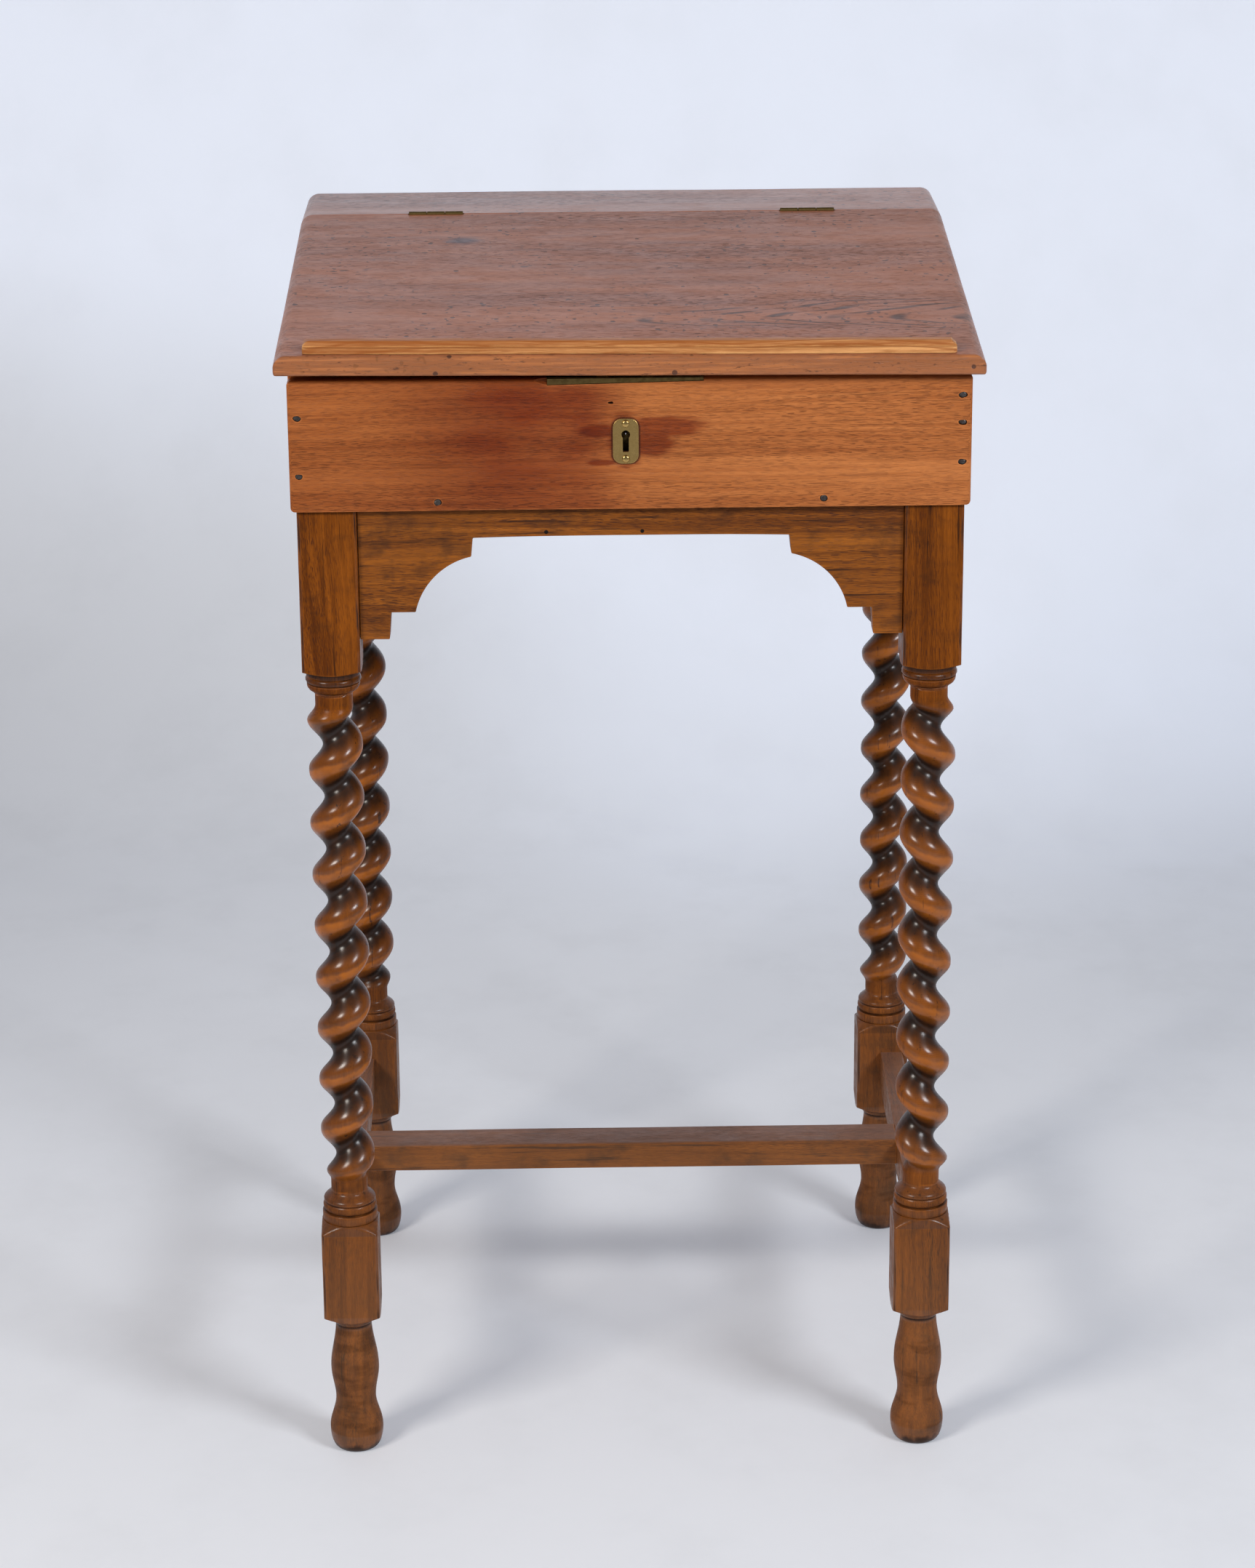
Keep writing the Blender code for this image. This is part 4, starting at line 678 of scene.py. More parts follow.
def wood_finish(name, axis, light, dark, options=None, extra=None):
    """Polished wood with pores, marks and rubbed edges. extra may paint what is special to one board."""
    if name in bpy.data.materials:
        return bpy.data.materials[name]
    values = {
        "pores": 0.85,
        "contrast": 1.0,
        "edge": 0.55,
        "reach": 0.0022,
        "dents": 0.0011,
        "spacing": 0.016,
        "gloss": (0.34, 0.52),
        "seed": 0.0,
        "blotch": 0.35,
        "relief": 0.00012,
        "shine": 0.18,
        "across": 1.0,
        "pore_colour": settings().woods.pore,
    }
    values.update(options or {})
    woods = settings().woods
    finish = Finish(name)
    desk = finish.desk
    figure = desk.group(
        plank_figure(),
        Grain=finish.grain(axis, values["seed"], values["across"]),
        Light=light,
        Dark=dark,
        Pore_Color=values["pore_colour"],
        Pore_Amount=values["pores"],
        Contrast=values["contrast"],
    )
    marks = desk.group(
        old_marks(), Place=finish.place, Dent_Spacing=values["spacing"], Dent_Size=values["dents"]
    )
    worn = desk.group(worn_arris(), Place=finish.place, Reach=values["reach"], Amount=values["edge"])["Edge"]
    toned = desk.mix(desk.times(marks["Blotch"], values["blotch"]), figure["Color"], dark)
    height = figure["Height"]
    if extra:
        toned, height = extra(finish, toned, height)
    rubbed = desk.mix(worn, toned, shaded(light, 1.45))
    dented = desk.mix(desk.times(marks["Dents"], 0.85), rubbed, woods.pore)
    low, high = values["gloss"]
    rough = desk.ramp(marks["Smear"], 0.0, 1.0, low, high)
    rough = desk.plus(rough, desk.times(figure["Pores"], 0.25))
    finish.set(Base_Color=dented, Roughness=rough, Specular_IOR_Level=values["shine"])
    finish.bump(desk.minus(height, desk.times(marks["Dents"], 1.5)), values["relief"])
    return finish.material


def spot(finish, place, half_sizes, soft, ragged=0.25, seed=0.0):
    """Mask of a soft oval around a place, with a ragged outline."""
    desk = finish.desk
    away = desk.shift(finish.place, tuple(-part for part in place))
    scaled = desk.stretch(away, tuple(1.0 / part for part in half_sizes))
    far = desk.put("ShaderNodeVectorMath", {0: scaled}, operation="LENGTH").outputs["Value"]
    rag = desk.noise(desk.shift(finish.place, (seed, seed, seed)), (60.0, 300.0, 300.0), 2.0)
    far = desk.plus(far, desk.times(desk.minus(rag, 0.5), 2.0 * ragged))
    return desk.ramp(far, 1.0 + soft / 2, 1.0 - soft / 2)


def top_finish(name, shine, coat):
    """Wood of the lid and of the ledge."""
    woods = settings().woods

    def figure(finish, colour_in, height):
        """Tongues of dark figure at the front right, an ink spot and a few scars."""
        desk = finish.desk
        x, y, _ = desk.parts(finish.place)
        along = desk.minus(x, FIGURE_TIP[0])
        across = desk.minus(y, FIGURE_TIP[1])
        sway = desk.minus(desk.noise(finish.place, (9.0, 30.0, 1.0), 2.0), 0.5)
        across = desk.plus(across, desk.times(sway, 0.024))
        behind = desk.times(desk.most(across, 0.0), FIGURE_SPREAD[0])
        before = desk.times(desk.math("MINIMUM", across, 0.0), FIGURE_SPREAD[1])
        spread = desk.plus(behind, before)
        rings = desk.minus(along, desk.times(spread, spread))
        bands = desk.ramp(desk.math("SINE", desk.times(rings, FIGURE_RINGS)), 0.40, 1.00)
        gaps = desk.ramp(desk.noise(finish.place, (16.0, 60.0, 1.0), 2.0), 0.36, 0.58, 0.15, 1.0)
        zone = spot(finish, *FIGURE_ZONE, 0.6, 0.15)
        inside = desk.ramp(rings, -0.045, 0.0)
        figured = desk.times(bands, zone, gaps, inside)
        # Painted light: the lid paler towards its right and its front
        pale = desk.most(desk.ramp(x, 0.02, 0.24), desk.ramp(y, -0.10, -0.20))
        toned = desk.mix(desk.times(pale, 0.16), colour_in, shaded(woods.top_light, 1.3))
        toned = desk.mix(desk.times(figured, 0.85), toned, shaded(woods.top_dark, 0.25))
        threads = desk.ramp(desk.noise(finish.place, (5.0, 120.0, 90.0), 2.0, 0.6), 0.60, 0.70)
        toned = desk.mix(desk.times(threads, 0.18), toned, shaded(woods.top_dark, 0.4))
        specks = desk.ramp(desk.noise(finish.place, (230.0, 230.0, 230.0), 0.0), 0.70, 0.75)
        crowd = desk.ramp(desk.noise(finish.place, (11.0, 11.0, 11.0), 1.0), 0.36, 0.60, 0.15, 1.0)
        toned = desk.mix(desk.times(specks, crowd, 0.75), toned, woods.pore)
        ink = spot(finish, lid_point(*INK_PLACE, TOP_THICKNESS), INK_SIZE, 1.2, 0.5, 3.0)
        toned = desk.mix(desk.times(ink, 0.75), toned, woods.ink)
        whole, gone = LID_EDGE
        edge = desk.ramp(y, TOP_FRONT + gone, TOP_FRONT + whole)
        pale = desk.ramp(desk.noise(finish.place, (18.0, 90.0, 420.0), 2.0, 0.6), 0.50, 0.64)
        toned = desk.mix(desk.times(edge, 0.60), toned, shaded(woods.front_light, 0.54))
        toned = desk.mix(desk.times(edge, pale, 0.25), toned, shaded(woods.front_light, 1.3))
        scars = desk.ramp(desk.noise(finish.place, (130.0, 90.0, 480.0), 3.0, 0.65), 0.60, 0.72)
        finish.set(Coat_Weight=coat, Coat_Roughness=0.30)
        return desk.mix(desk.times(edge, scars, 0.70), toned, woods.pore), height

    options = {
        "gloss": (0.33, 0.42),
        "pores": 0.70,
        "contrast": 0.50,
        "across": 0.40,
        "blotch": 0.08,
        "dents": 0.0025,
        "spacing": 0.011,
        "edge": 0.3,
        "shine": shine,
    }
    return wood_finish(name, "X", woods.top_light, woods.top_dark, options, figure)


def plate_dirt(finish):
    """Mask of the dirt that has gathered against the outline of the escutcheon."""
    desk = finish.desk
    x, _, z = desk.parts(finish.place)
    outside = []
    for part, middle, size in ((x, LOCK_X, ESCUTCHEON_WIDTH), (z, ESCUTCHEON_Z, ESCUTCHEON_HEIGHT)):
        away = desk.math("ABSOLUTE", desk.minus(part, middle))
        beyond = desk.minus(away, size / 2 - ESCUTCHEON_CORNER)
        beyond = desk.most(beyond, 0.0)
        outside.append(desk.times(beyond, beyond))
    far = desk.math("SQRT", desk.plus(*outside))
    return desk.ramp(far, ESCUTCHEON_CORNER + DIRT_WIDTH, ESCUTCHEON_CORNER + 0.0002)


def front_finish(name):
    """Wood of the front board of the box."""
    woods = settings().woods

    def stains(finish, colour_in, height):
        """Red polish in the left middle, the wiped patch around the escutcheon, a darker left half, and
        painted shade along the top under the lid.
        """
        desk = finish.desk
        x, _, z = desk.parts(finish.place)
        red = desk.times(desk.ramp(x, *RED_LEFT), desk.ramp(x, *RED_RIGHT))
        cloud = desk.ramp(desk.noise(finish.place, (14.0, 14.0, 30.0), 3.0), 0.25, 0.65, 0.65, 1.0)
        red = desk.times(red, desk.ramp(z, 0.790, 0.850, 0.70, 1.0), cloud)
        shade = desk.ramp(x, 0.06, -0.17)
        threads = desk.ramp(desk.noise(finish.place, (9.0, 260.0, 380.0), 2.0, 0.6), 0.58, 0.70)
        toned = desk.mix(desk.times(threads, 0.45), colour_in, shaded(woods.front_dark, 0.5))
        toned = desk.mix(desk.times(shade, 0.60), toned, woods.front_shade, "MULTIPLY")
        toned = desk.mix(desk.times(red, 0.90), toned, woods.front_red, "MULTIPLY")
        lobes = []
        for seed, (away_x, rise, half_x, half_z) in enumerate(STAIN_LOBES):
            place = (LOCK_X + away_x, BOX_FRONT, ESCUTCHEON_Z + rise)
            lobes.append(spot(finish, place, (half_x, 0.1, half_z), 0.60, 0.40, float(seed)))
        toned = desk.mix(desk.times(desk.most(*lobes), 0.80), toned, woods.front_red, "MULTIPLY")
        toned = desk.mix(desk.times(plate_dirt(finish), 0.70), toned, woods.pore)
        # Painted shade along the top of the board, under the lid's front edge
        top = desk.ramp(z, FRONT_BOARD_TOP - 0.012, FRONT_BOARD_TOP - 0.002)
        return desk.mix(desk.times(top, 0.35), toned, woods.front_dark), height

    options = {
        "gloss": (0.30, 0.46),
        "pores": 0.80,
        "contrast": 0.65,
        "blotch": 0.20,
        "edge": 0.40,
        "seed": 2.0,
        "spacing": 0.03,
        "pore_colour": shaded(woods.front_dark, 0.42),
    }
    return wood_finish(name, "X", woods.front_light, woods.front_dark, options, stains)


def board_finish(axis):
    """Box boards with the grain along an axis."""
    woods = settings().woods
    options = {"seed": 5.0 if axis == "X" else 7.0, "blotch": 0.5}
    return wood_finish(f"planed_box_{axis}", axis, woods.front_light, woods.front_dark, options)


def rail_finish(axis):
    """Oak of aprons and stretchers, with the grain along an axis."""
    woods = settings().woods

    def dust(finish, colour_in, height):
        """Darker towards the bottom, stains, and a greyish bloom on what faces up, partly bloom and partly
        painted sheen.
        """
        desk = finish.desk
        normal = desk.nodes.new("ShaderNodeNewGeometry").outputs["True Normal"]
        up = desk.ramp(desk.parts(normal)[2], 0.6, 0.98)
        low = desk.ramp(desk.parts(finish.place)[2], 0.60, 0.40)
        toned = desk.mix(desk.times(low, 0.35), colour_in, woods.rail_dark)
        toned = stained_oak(finish, toned, axis, 41.0)
        # Painted sheen with the bloom: greyish on what faces up
        return desk.mix(desk.times(up, 0.40), toned, woods.rail_bloom_and_sheen), height

    options = {"seed": {"X": 11.0, "Y": 13.0}[axis], "edge": 0.8, "spacing": 0.02, "pores": 0.95}
    return wood_finish(f"planed_oak_{axis}", axis, woods.rail_light, woods.rail_dark, options, dust)


def pine_finish(name, polished):
    """Pine of the pen rest, polished, or of the bottom of the box, bare."""
    woods = settings().woods
    gloss = (0.30, 0.45) if polished else (0.55, 0.75)

    def rings(finish, colour_in, height):
        """Dark lines of a slash-sawn board, closing into long lenses."""
        desk = finish.desk
        x, y, z = desk.parts(finish.place)
        across = desk.plus(y, z)
        sway = desk.noise(desk.vector(x, across, 0.0), (9.0, 45.0, 1.0), 1.0)
        across = desk.plus(across, desk.times(sway, 0.030))
        lines = desk.math("SINE", desk.times(across, 800.0))
        lines = desk.ramp(lines, 0.30, 1.0)
        return desk.mix(desk.times(lines, 0.75 if polished else 0.35), colour_in, woods.pine_dark), height

    options = {"pores": 0.15, "contrast": 0.7, "gloss": gloss, "seed": 23.0, "blotch": 0.10, "edge": 0.35}
    return wood_finish(name, "X", woods.pine_light, woods.pine_dark, options, rings)


def leg_finish():
    """Oak of the legs: rubbed crests, black grooves, dark quirks in the turning, and painted shade on the
    upper and under sides of the rope.
    """
    woods = settings().woods

    def twist(finish, colour_in, height):
        desk = finish.desk
        rope = desk.attribute("rope")
        lie = desk.attribute("lie")
        hollow = desk.attribute("hollow")
        grain = finish.grain("Z", 31.0)
        stray = desk.minus(desk.noise(grain, (45.0, 95.0, 95.0), 2.0), 0.5)
        across = desk.plus(lie, desk.times(stray, 0.30))
        crest = desk.times(desk.ramp(across, 0.06, -0.08), desk.ramp(across, -0.52, -0.26))
        rubbed = desk.ramp(desk.noise(grain, (25.0, 70.0, 70.0), 2.0), 0.30, 0.62, 0.60, 1.0)
        toned = desk.mix(desk.times(rope, 0.65), colour_in, woods.oak_rope)
        toned = desk.mix(desk.times(crest, rope, rubbed, 0.9), toned, woods.oak_crest)
        toned = stained_oak(finish, toned, "Z", 37.0)
        # Painted shade: the upper and under sides of each rope, and its grooves and quirks, where old polish
        # also lies
        upper = desk.times(desk.ramp(across, 0.20, 0.68), rope, 0.90)
        under = desk.times(desk.ramp(across, -0.48, -0.80), rope, 0.85)
        dark = desk.most(upper, under, desk.ramp(hollow, 0.25, 0.80))
        dark = desk.times(dark, desk.ramp(stray, -0.30, 0.10, 0.80, 1.0))
        strokes = desk.noise(finish.place, (330.0, 330.0, 150.0), 2.0)
        height = desk.plus(height, desk.times(strokes, 2.2))
        z = desk.parts(finish.place)[2]
        # Darker in patches over the foot below the lower block, and darkest at its bottom rim
        band = desk.noise(finish.place, (26.0, 26.0, 75.0), 3.0, 0.6)
        darker_foot = desk.times(desk.ramp(z, 0.118, 0.108), desk.ramp(band, 0.47, 0.66), 0.45)
        rim = desk.ramp(desk.plus(z, desk.times(stray, 0.02)), 0.009, 0.002)
        darker_foot = desk.most(darker_foot, rim)
        toned = desk.mix(darker_foot, toned, woods.oak_stain)
        polish = desk.most(rope, desk.ramp(hollow, 0.05, 0.15, 0.0, 0.6))
        polish = desk.times(polish, desk.ramp(dark, 0.0, 1.0, 1.0, 0.70))
        coat = desk.times(polish, desk.ramp(stray, -0.2, 0.2, 0.45, 0.80))
        finish.set(Coat_Weight=coat, Coat_Roughness=0.23)
        return desk.mix(dark, toned, woods.oak_groove_and_shade), height

    options = {
        "gloss": (0.30, 0.45),
        "contrast": 0.9,
        "seed": 29.0,
        "edge": 0.5,
        "pores": 0.90,
        "shine": 0.06,
        "relief": 0.00004,
    }
    return wood_finish("turned_oak", "Z", woods.oak_light, woods.oak_dark, options, twist)


def blackened_and_shaded_finish():
    """Wood gone black around iron and in old cuts, and painted shade: black inside the keyholes and in the
    gap at the lock's brass edge.
    """
    woods = settings().woods
    options = {"edge": 0.25, "contrast": 0.8, "gloss": (0.5, 0.7), "shine": 0.2}
    return wood_finish("blackened_and_shaded_wood", "X", shaded(woods.oak_light, 0.25), woods.pore, options)


def blackened_and_shaded(mesh):
    # Black faces that a cutter leaves: blackened wood in nail pits, painted shade inside keyholes and gaps,
    # on wood and brass alike
    mesh.materials.append(blackened_and_shaded_finish())
    return mesh


def metal_finish(name, bright, dull, gloss, dirt):
    """Old metal: rubbed where it is proud, dull elsewhere."""
    if name in bpy.data.materials:
        return bpy.data.materials[name]
    finish = Finish(name)
    desk = finish.desk
    marks = desk.group(old_marks(), Place=finish.place, Dent_Spacing=0.004, Dent_Size=0.0005)
    worn = desk.group(worn_arris(), Place=finish.place, Reach=0.0006, Amount=1.0)["Edge"]
    cloud = desk.ramp(desk.noise(finish.place, (240.0, 240.0, 240.0), 4.0, 0.6), 0.30, 0.68)
    scratch = desk.noise(finish.place, (180.0, 900.0, 1900.0), 2.0)
    tone = desk.mix(desk.times(cloud, dirt), bright, dull)
    tone = desk.mix(desk.times(marks["Dents"], 0.6), tone, dull)
    tone = desk.mix(worn, tone, shaded(bright, 1.35))
    low, high = gloss
    finish.set(Base_Color=tone, Roughness=desk.ramp(cloud, 0.0, 1.0, low, high), Metallic=1.0)
    finish.bump(desk.minus(desk.times(scratch, 0.4), marks["Dents"]), 0.00006)
    return finish.material


def brass_finish():
    metals = settings().metals
    return metal_finish("aged_brass", metals.brass, metals.brass_dull, (0.26, 0.42), 0.60)


def hinge_finish():
    metals = settings().metals
    # A darker copy of the dull brass: tarnish, and painted shade for the hinges in their joint and the lock's
    # brass edge under the lid
    bright = shaded(metals.brass_dull, 0.75)
    dull = shaded(metals.brass_dull, 0.40)
    return metal_finish("hinge_brass", bright, dull, (0.36, 0.52), 0.8)


def polished_finish():
    metals = settings().metals
    return metal_finish("rubbed_brass", metals.brass, metals.brass_dull, (0.16, 0.26), 0.25)


def steel_finish():
    metals = settings().metals
    return metal_finish("bright_steel", metals.steel, metals.iron, (0.14, 0.24), 0.3)


def iron_finish():
    metals = settings().metals
    return metal_finish("forged_iron", metals.iron, metals.iron_dark, (0.40, 0.62), 0.8)


def dark_iron_finish():
    metals = settings().metals
    dull = shaded(metals.iron_dark, 0.5)
    return metal_finish("blackened_iron", metals.iron_dark, dull, (0.50, 0.70), 0.8)


# Meshes


def skin(name, rings):
    """Closed mesh through rings of equal count, with a flat cap at each end."""
    count = len(rings[0])
    points = [point for ring in rings for point in ring]
    faces = []
    for level in range(len(rings) - 1):
        low = level * count
        for here in range(count):
            after = (here + 1) % count
            faces.append((low + here, low + after, low + count + after, low + count + here))
    faces.append(tuple(range(count - 1, -1, -1)))
    faces.append(tuple(range(len(points) - count, len(points))))
    mesh = bpy.data.meshes.new(name)
    mesh.from_pydata(points, [], faces)
    build = bmesh.new()
    build.from_mesh(mesh)
    bmesh.ops.recalc_face_normals(build, faces=build.faces)
    build.to_mesh(mesh)
    build.free()
    return mesh


def loose(name, mesh):
    made = bpy.data.objects.new(name, mesh)
    bpy.context.scene.collection.objects.link(made)
    return made


def volume(mesh):
    build = bmesh.new()
    build.from_mesh(mesh)
    found = abs(build.calc_volume())
    build.free()
    return found


def applied(piece):
    """The mesh of an object with its modifiers made final; the object goes."""
    whole = volume(piece.data)
    graph = bpy.context.evaluated_depsgraph_get()
    mesh = bpy.data.meshes.new_from_object(piece.evaluated_get(graph), depsgraph=graph)
    if abs(volume(mesh) / whole - 1) > CUT_SHARE:
        raise RuntimeError(f"the cuts in {piece.name} failed")
    bpy.data.objects.remove(piece, do_unlink=True)
    return mesh


def smooth(mesh, sharp=math.pi):
    """A mesh shaded smooth, apart from the edges that bend more than an angle."""
    mesh.shade_smooth()
    if sharp < math.pi:
        mesh.set_sharp_from_angle(angle=sharp)
    return mesh


def worked(name, mesh, arris=0.0, cutters=(), joiners=(), arris_steps=3):
    """Mesh with its edges eased, holes cut and parts joined, shaded as flat faces with soft edges."""
    build = bmesh.new()
    build.from_mesh(mesh)
    bmesh.ops.remove_doubles(build, verts=build.verts, dist=SAME_POINT)
    bmesh.ops.dissolve_degenerate(build, edges=build.edges, dist=SAME_POINT)
    bmesh.ops.recalc_face_normals(build, faces=build.faces)
    build.to_mesh(mesh)
    build.free()
    mesh.materials.append(None)
    piece = loose(name, mesh)
    if arris:
        bevel = piece.modifiers.new("arris", "BEVEL")
        bevel.width = arris
        bevel.segments = arris_steps
        bevel.limit_method = "ANGLE"
        bevel.angle_limit = EASED_ANGLE
    helpers = []
    for operation, shapes in (("UNION", joiners), ("DIFFERENCE", cutters)):
        for shape in shapes:
            helper = loose(f"{name}_helper", shape)
            helpers.append(helper)
            cut = piece.modifiers.new("cut", "BOOLEAN")
            cut.operation = operation
            cut.solver = "MANIFOLD"
            cut.material_mode = "TRANSFER"
            cut.object = helper
    made = applied(piece)
    for helper in helpers:
        bpy.data.objects.remove(helper, do_unlink=True)
    piece = loose(name, smooth(made, SHARP_ANGLE))
    weighted = piece.modifiers.new("flat_faces", "WEIGHTED_NORMAL")
    weighted.keep_sharp = True
    return applied(piece)


def add_piece(name, mesh, material, body, slot, *replaced):
    """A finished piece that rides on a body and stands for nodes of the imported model."""
    if not mesh.materials:
        mesh.materials.append(None)
    mesh.materials[0] = material
    if name in bpy.data.objects:
        raise RuntimeError(f"a piece named {name} is there already")
    made = loose(name, mesh)
    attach(made, body)
    if replaced:
        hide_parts(*replaced)
    return made


def wandering(point, amount, seed, scale=9.0):
    """Point moved a little, as hand work strays, within the size of the whole table."""
    moved = point + noise.noise_vector(point * scale + Vector((seed, seed * 2, seed * 3))) * amount
    return Vector([min(max(part, low), high) for part, low, high in zip(moved, *CAD_BOX)])


def ragged(rings, amount, seed, scale):
    """Rings whose points have all strayed."""
    return [[wandering(point, amount, seed, scale) for point in ring] for ring in rings]


def arc(centre_a, centre_b, radius, start, end, steps):
    points = []
    for step in range(steps + 1):
        angle = math.radians(start + (end - start) * step / steps)
        points.append((centre_a + radius * math.cos(angle), centre_b + radius * math.sin(angle)))
    return points


def rounded(outline, radii, steps=4):
    """Outline with each convex corner rounded to its own radius."""
    points = []
    count = len(outline)
    for here in range(count):
        corner = Vector(outline[here])
        before = (Vector(outline[here - 1]) - corner).normalized()
        after = (Vector(outline[(here + 1) % count]) - corner).normalized()
        radius = radii[here]
        if not radius:
            points.append(tuple(corner))
            continue
        for step in range(steps + 1):
            part = step / steps
            reach_before = (1 - part) ** 2 * radius
            reach_after = part**2 * radius
            points.append(tuple(corner + before * reach_before + after * reach_after))
    return points


def rectangle(low_a, high_a, low_b, high_b):
    return [(low_a, low_b), (high_a, low_b), (high_a, high_b), (low_a, high_b)]


def drawn(outline, axis, low, high, sections=1, wander=0.0, seed=0.0):
    """Rings of an outline carried along an axis, straying a little if wander is given."""
    along = "XYZ".index(axis)
    rings = []
    for step in range(sections + 1):
        level = low + (high - low) * step / sections
        ring = []
        for first, second in outline:
            parts = [first, second]
            parts.insert(along, level)
            point = Vector(parts)
            ring.append(wandering(point, wander, seed) if wander else point)
        rings.append(ring)
    return rings


def block_mesh(low, high):
    return skin("block", drawn(rectangle(low[0], high[0], low[1], high[1]), "Z", low[2], high[2]))


def turned(centre, direction, stations, columns):
    """Rings about a line: each station is a distance along it and a radius."""
    direction = Vector(direction).normalized()
    side = direction.orthogonal().normalized()
    other = direction.cross(side)
    rings = []
    for distance, radius in stations:
        middle = Vector(centre) + direction * distance
        circle = arc(0, 0, radius, 0, 360, columns)[:-1]
        rings.append([middle + side * a + other * b for a, b in circle])
    return rings


# Legs


def eased(z_from, r_from, z_to, r_to, hollow=0.0):
    """S curve between two turned radii."""
    stations = []
    for step in range(1, PROFILE_STEPS + 1):
        part = step / PROFILE_STEPS
        ease = (1 - math.cos(math.pi * part)) / 2
        stations.append((z_from + (z_to - z_from) * part, r_from + (r_to - r_from) * ease, hollow))
    return stations


def quarter(z_from, r_from, z_to, r_to, hollow=0.0):
    """Convex quarter that leaves its start along the leg."""
    stations = []
    for step in range(1, PROFILE_STEPS + 1):
        angle = math.pi / 2 * step / PROFILE_STEPS
        level = z_from + (z_to - z_from) * math.sin(angle)
        stations.append((level, r_to + (r_from - r_to) * math.cos(angle), hollow))
    return stations


def bead(z_from, z_to, base, crown, crown_hollow=0.0):
    stations = []
    for step in range(PROFILE_STEPS + 1):
        part = step / PROFILE_STEPS
        rise = math.sin(math.pi * part)
        level = z_from + (z_to - z_from) * part
        hollow = max(crown_hollow, 1.0 - 2.2 * rise)
        stations.append((level, base + (crown - base) * rise**0.6, hollow))
    return stations


def straight(z_from, r_from, z_to, r_to, steps, hollow=0.0):
    stations = []
    for step in range(steps + 1):
        part = step / steps
        stations.append((z_from + (z_to - z_from) * part, r_from + (r_to - r_from) * part, hollow))
    return stations


def upper_stations():
    """Block, shoulder and collar above the twist: heights, radii and how dark each place is, from old polish
    and painted shade.
    """
    corner = LEG_HALF * math.sqrt(2) + CORNER_SPARE
    level = LEG_HEIGHT - UPPER_BLOCK_HEIGHT
    stations = straight(LEG_HEIGHT, corner, level, corner, round(UPPER_BLOCK_HEIGHT / BLOCK_STEP))
    base = level - UPPER_SHOULDER
    stations += straight(level, corner - CORNER_SPARE, base, LEG_HALF, PROFILE_STEPS)
    stations += [(base, BAND_RADIUS, 1.0), (base - 0.0006, BAND_RADIUS, 0.62)]
    bead_top = base - COLLAR_BAND
    stations += [(bead_top, BAND_RADIUS, 0.62), (bead_top - 0.0001, BAND_RADIUS - QUIRK_DEPTH, 1.0)]
    bead_base = bead_top - COLLAR_BEAD
    stations += bead(bead_top - 0.0003, bead_base, BAND_RADIUS - QUIRK_DEPTH, COLLAR_RADIUS, 0.52)
    ovolo_base = base - COLLAR_HEIGHT - OVOLO_HEIGHT
    stations.append((bead_base - 0.0003, BAND_RADIUS - QUIRK_DEPTH, 1.0))
    stations.append((bead_base - 0.0004, OVOLO_RADIUS, 0.3))
    stations += quarter(bead_base - 0.0006, OVOLO_RADIUS, ovolo_base, FILLET_RADIUS + 0.0016)
    fillet_base = ovolo_base - FILLET_HEIGHT
    stations += [
        (ovolo_base - 0.0001, FILLET_RADIUS, 1.0),
        (ovolo_base - 0.0006, FILLET_RADIUS, 1.0),
        (ovolo_base - 0.0008, FILLET_RADIUS + 0.0006, 0.2),
        (fillet_base + 0.0006, FILLET_RADIUS + 0.0005, 0.1),
        (fillet_base, FILLET_RADIUS - 0.0006, 0.5),
    ]
    return stations


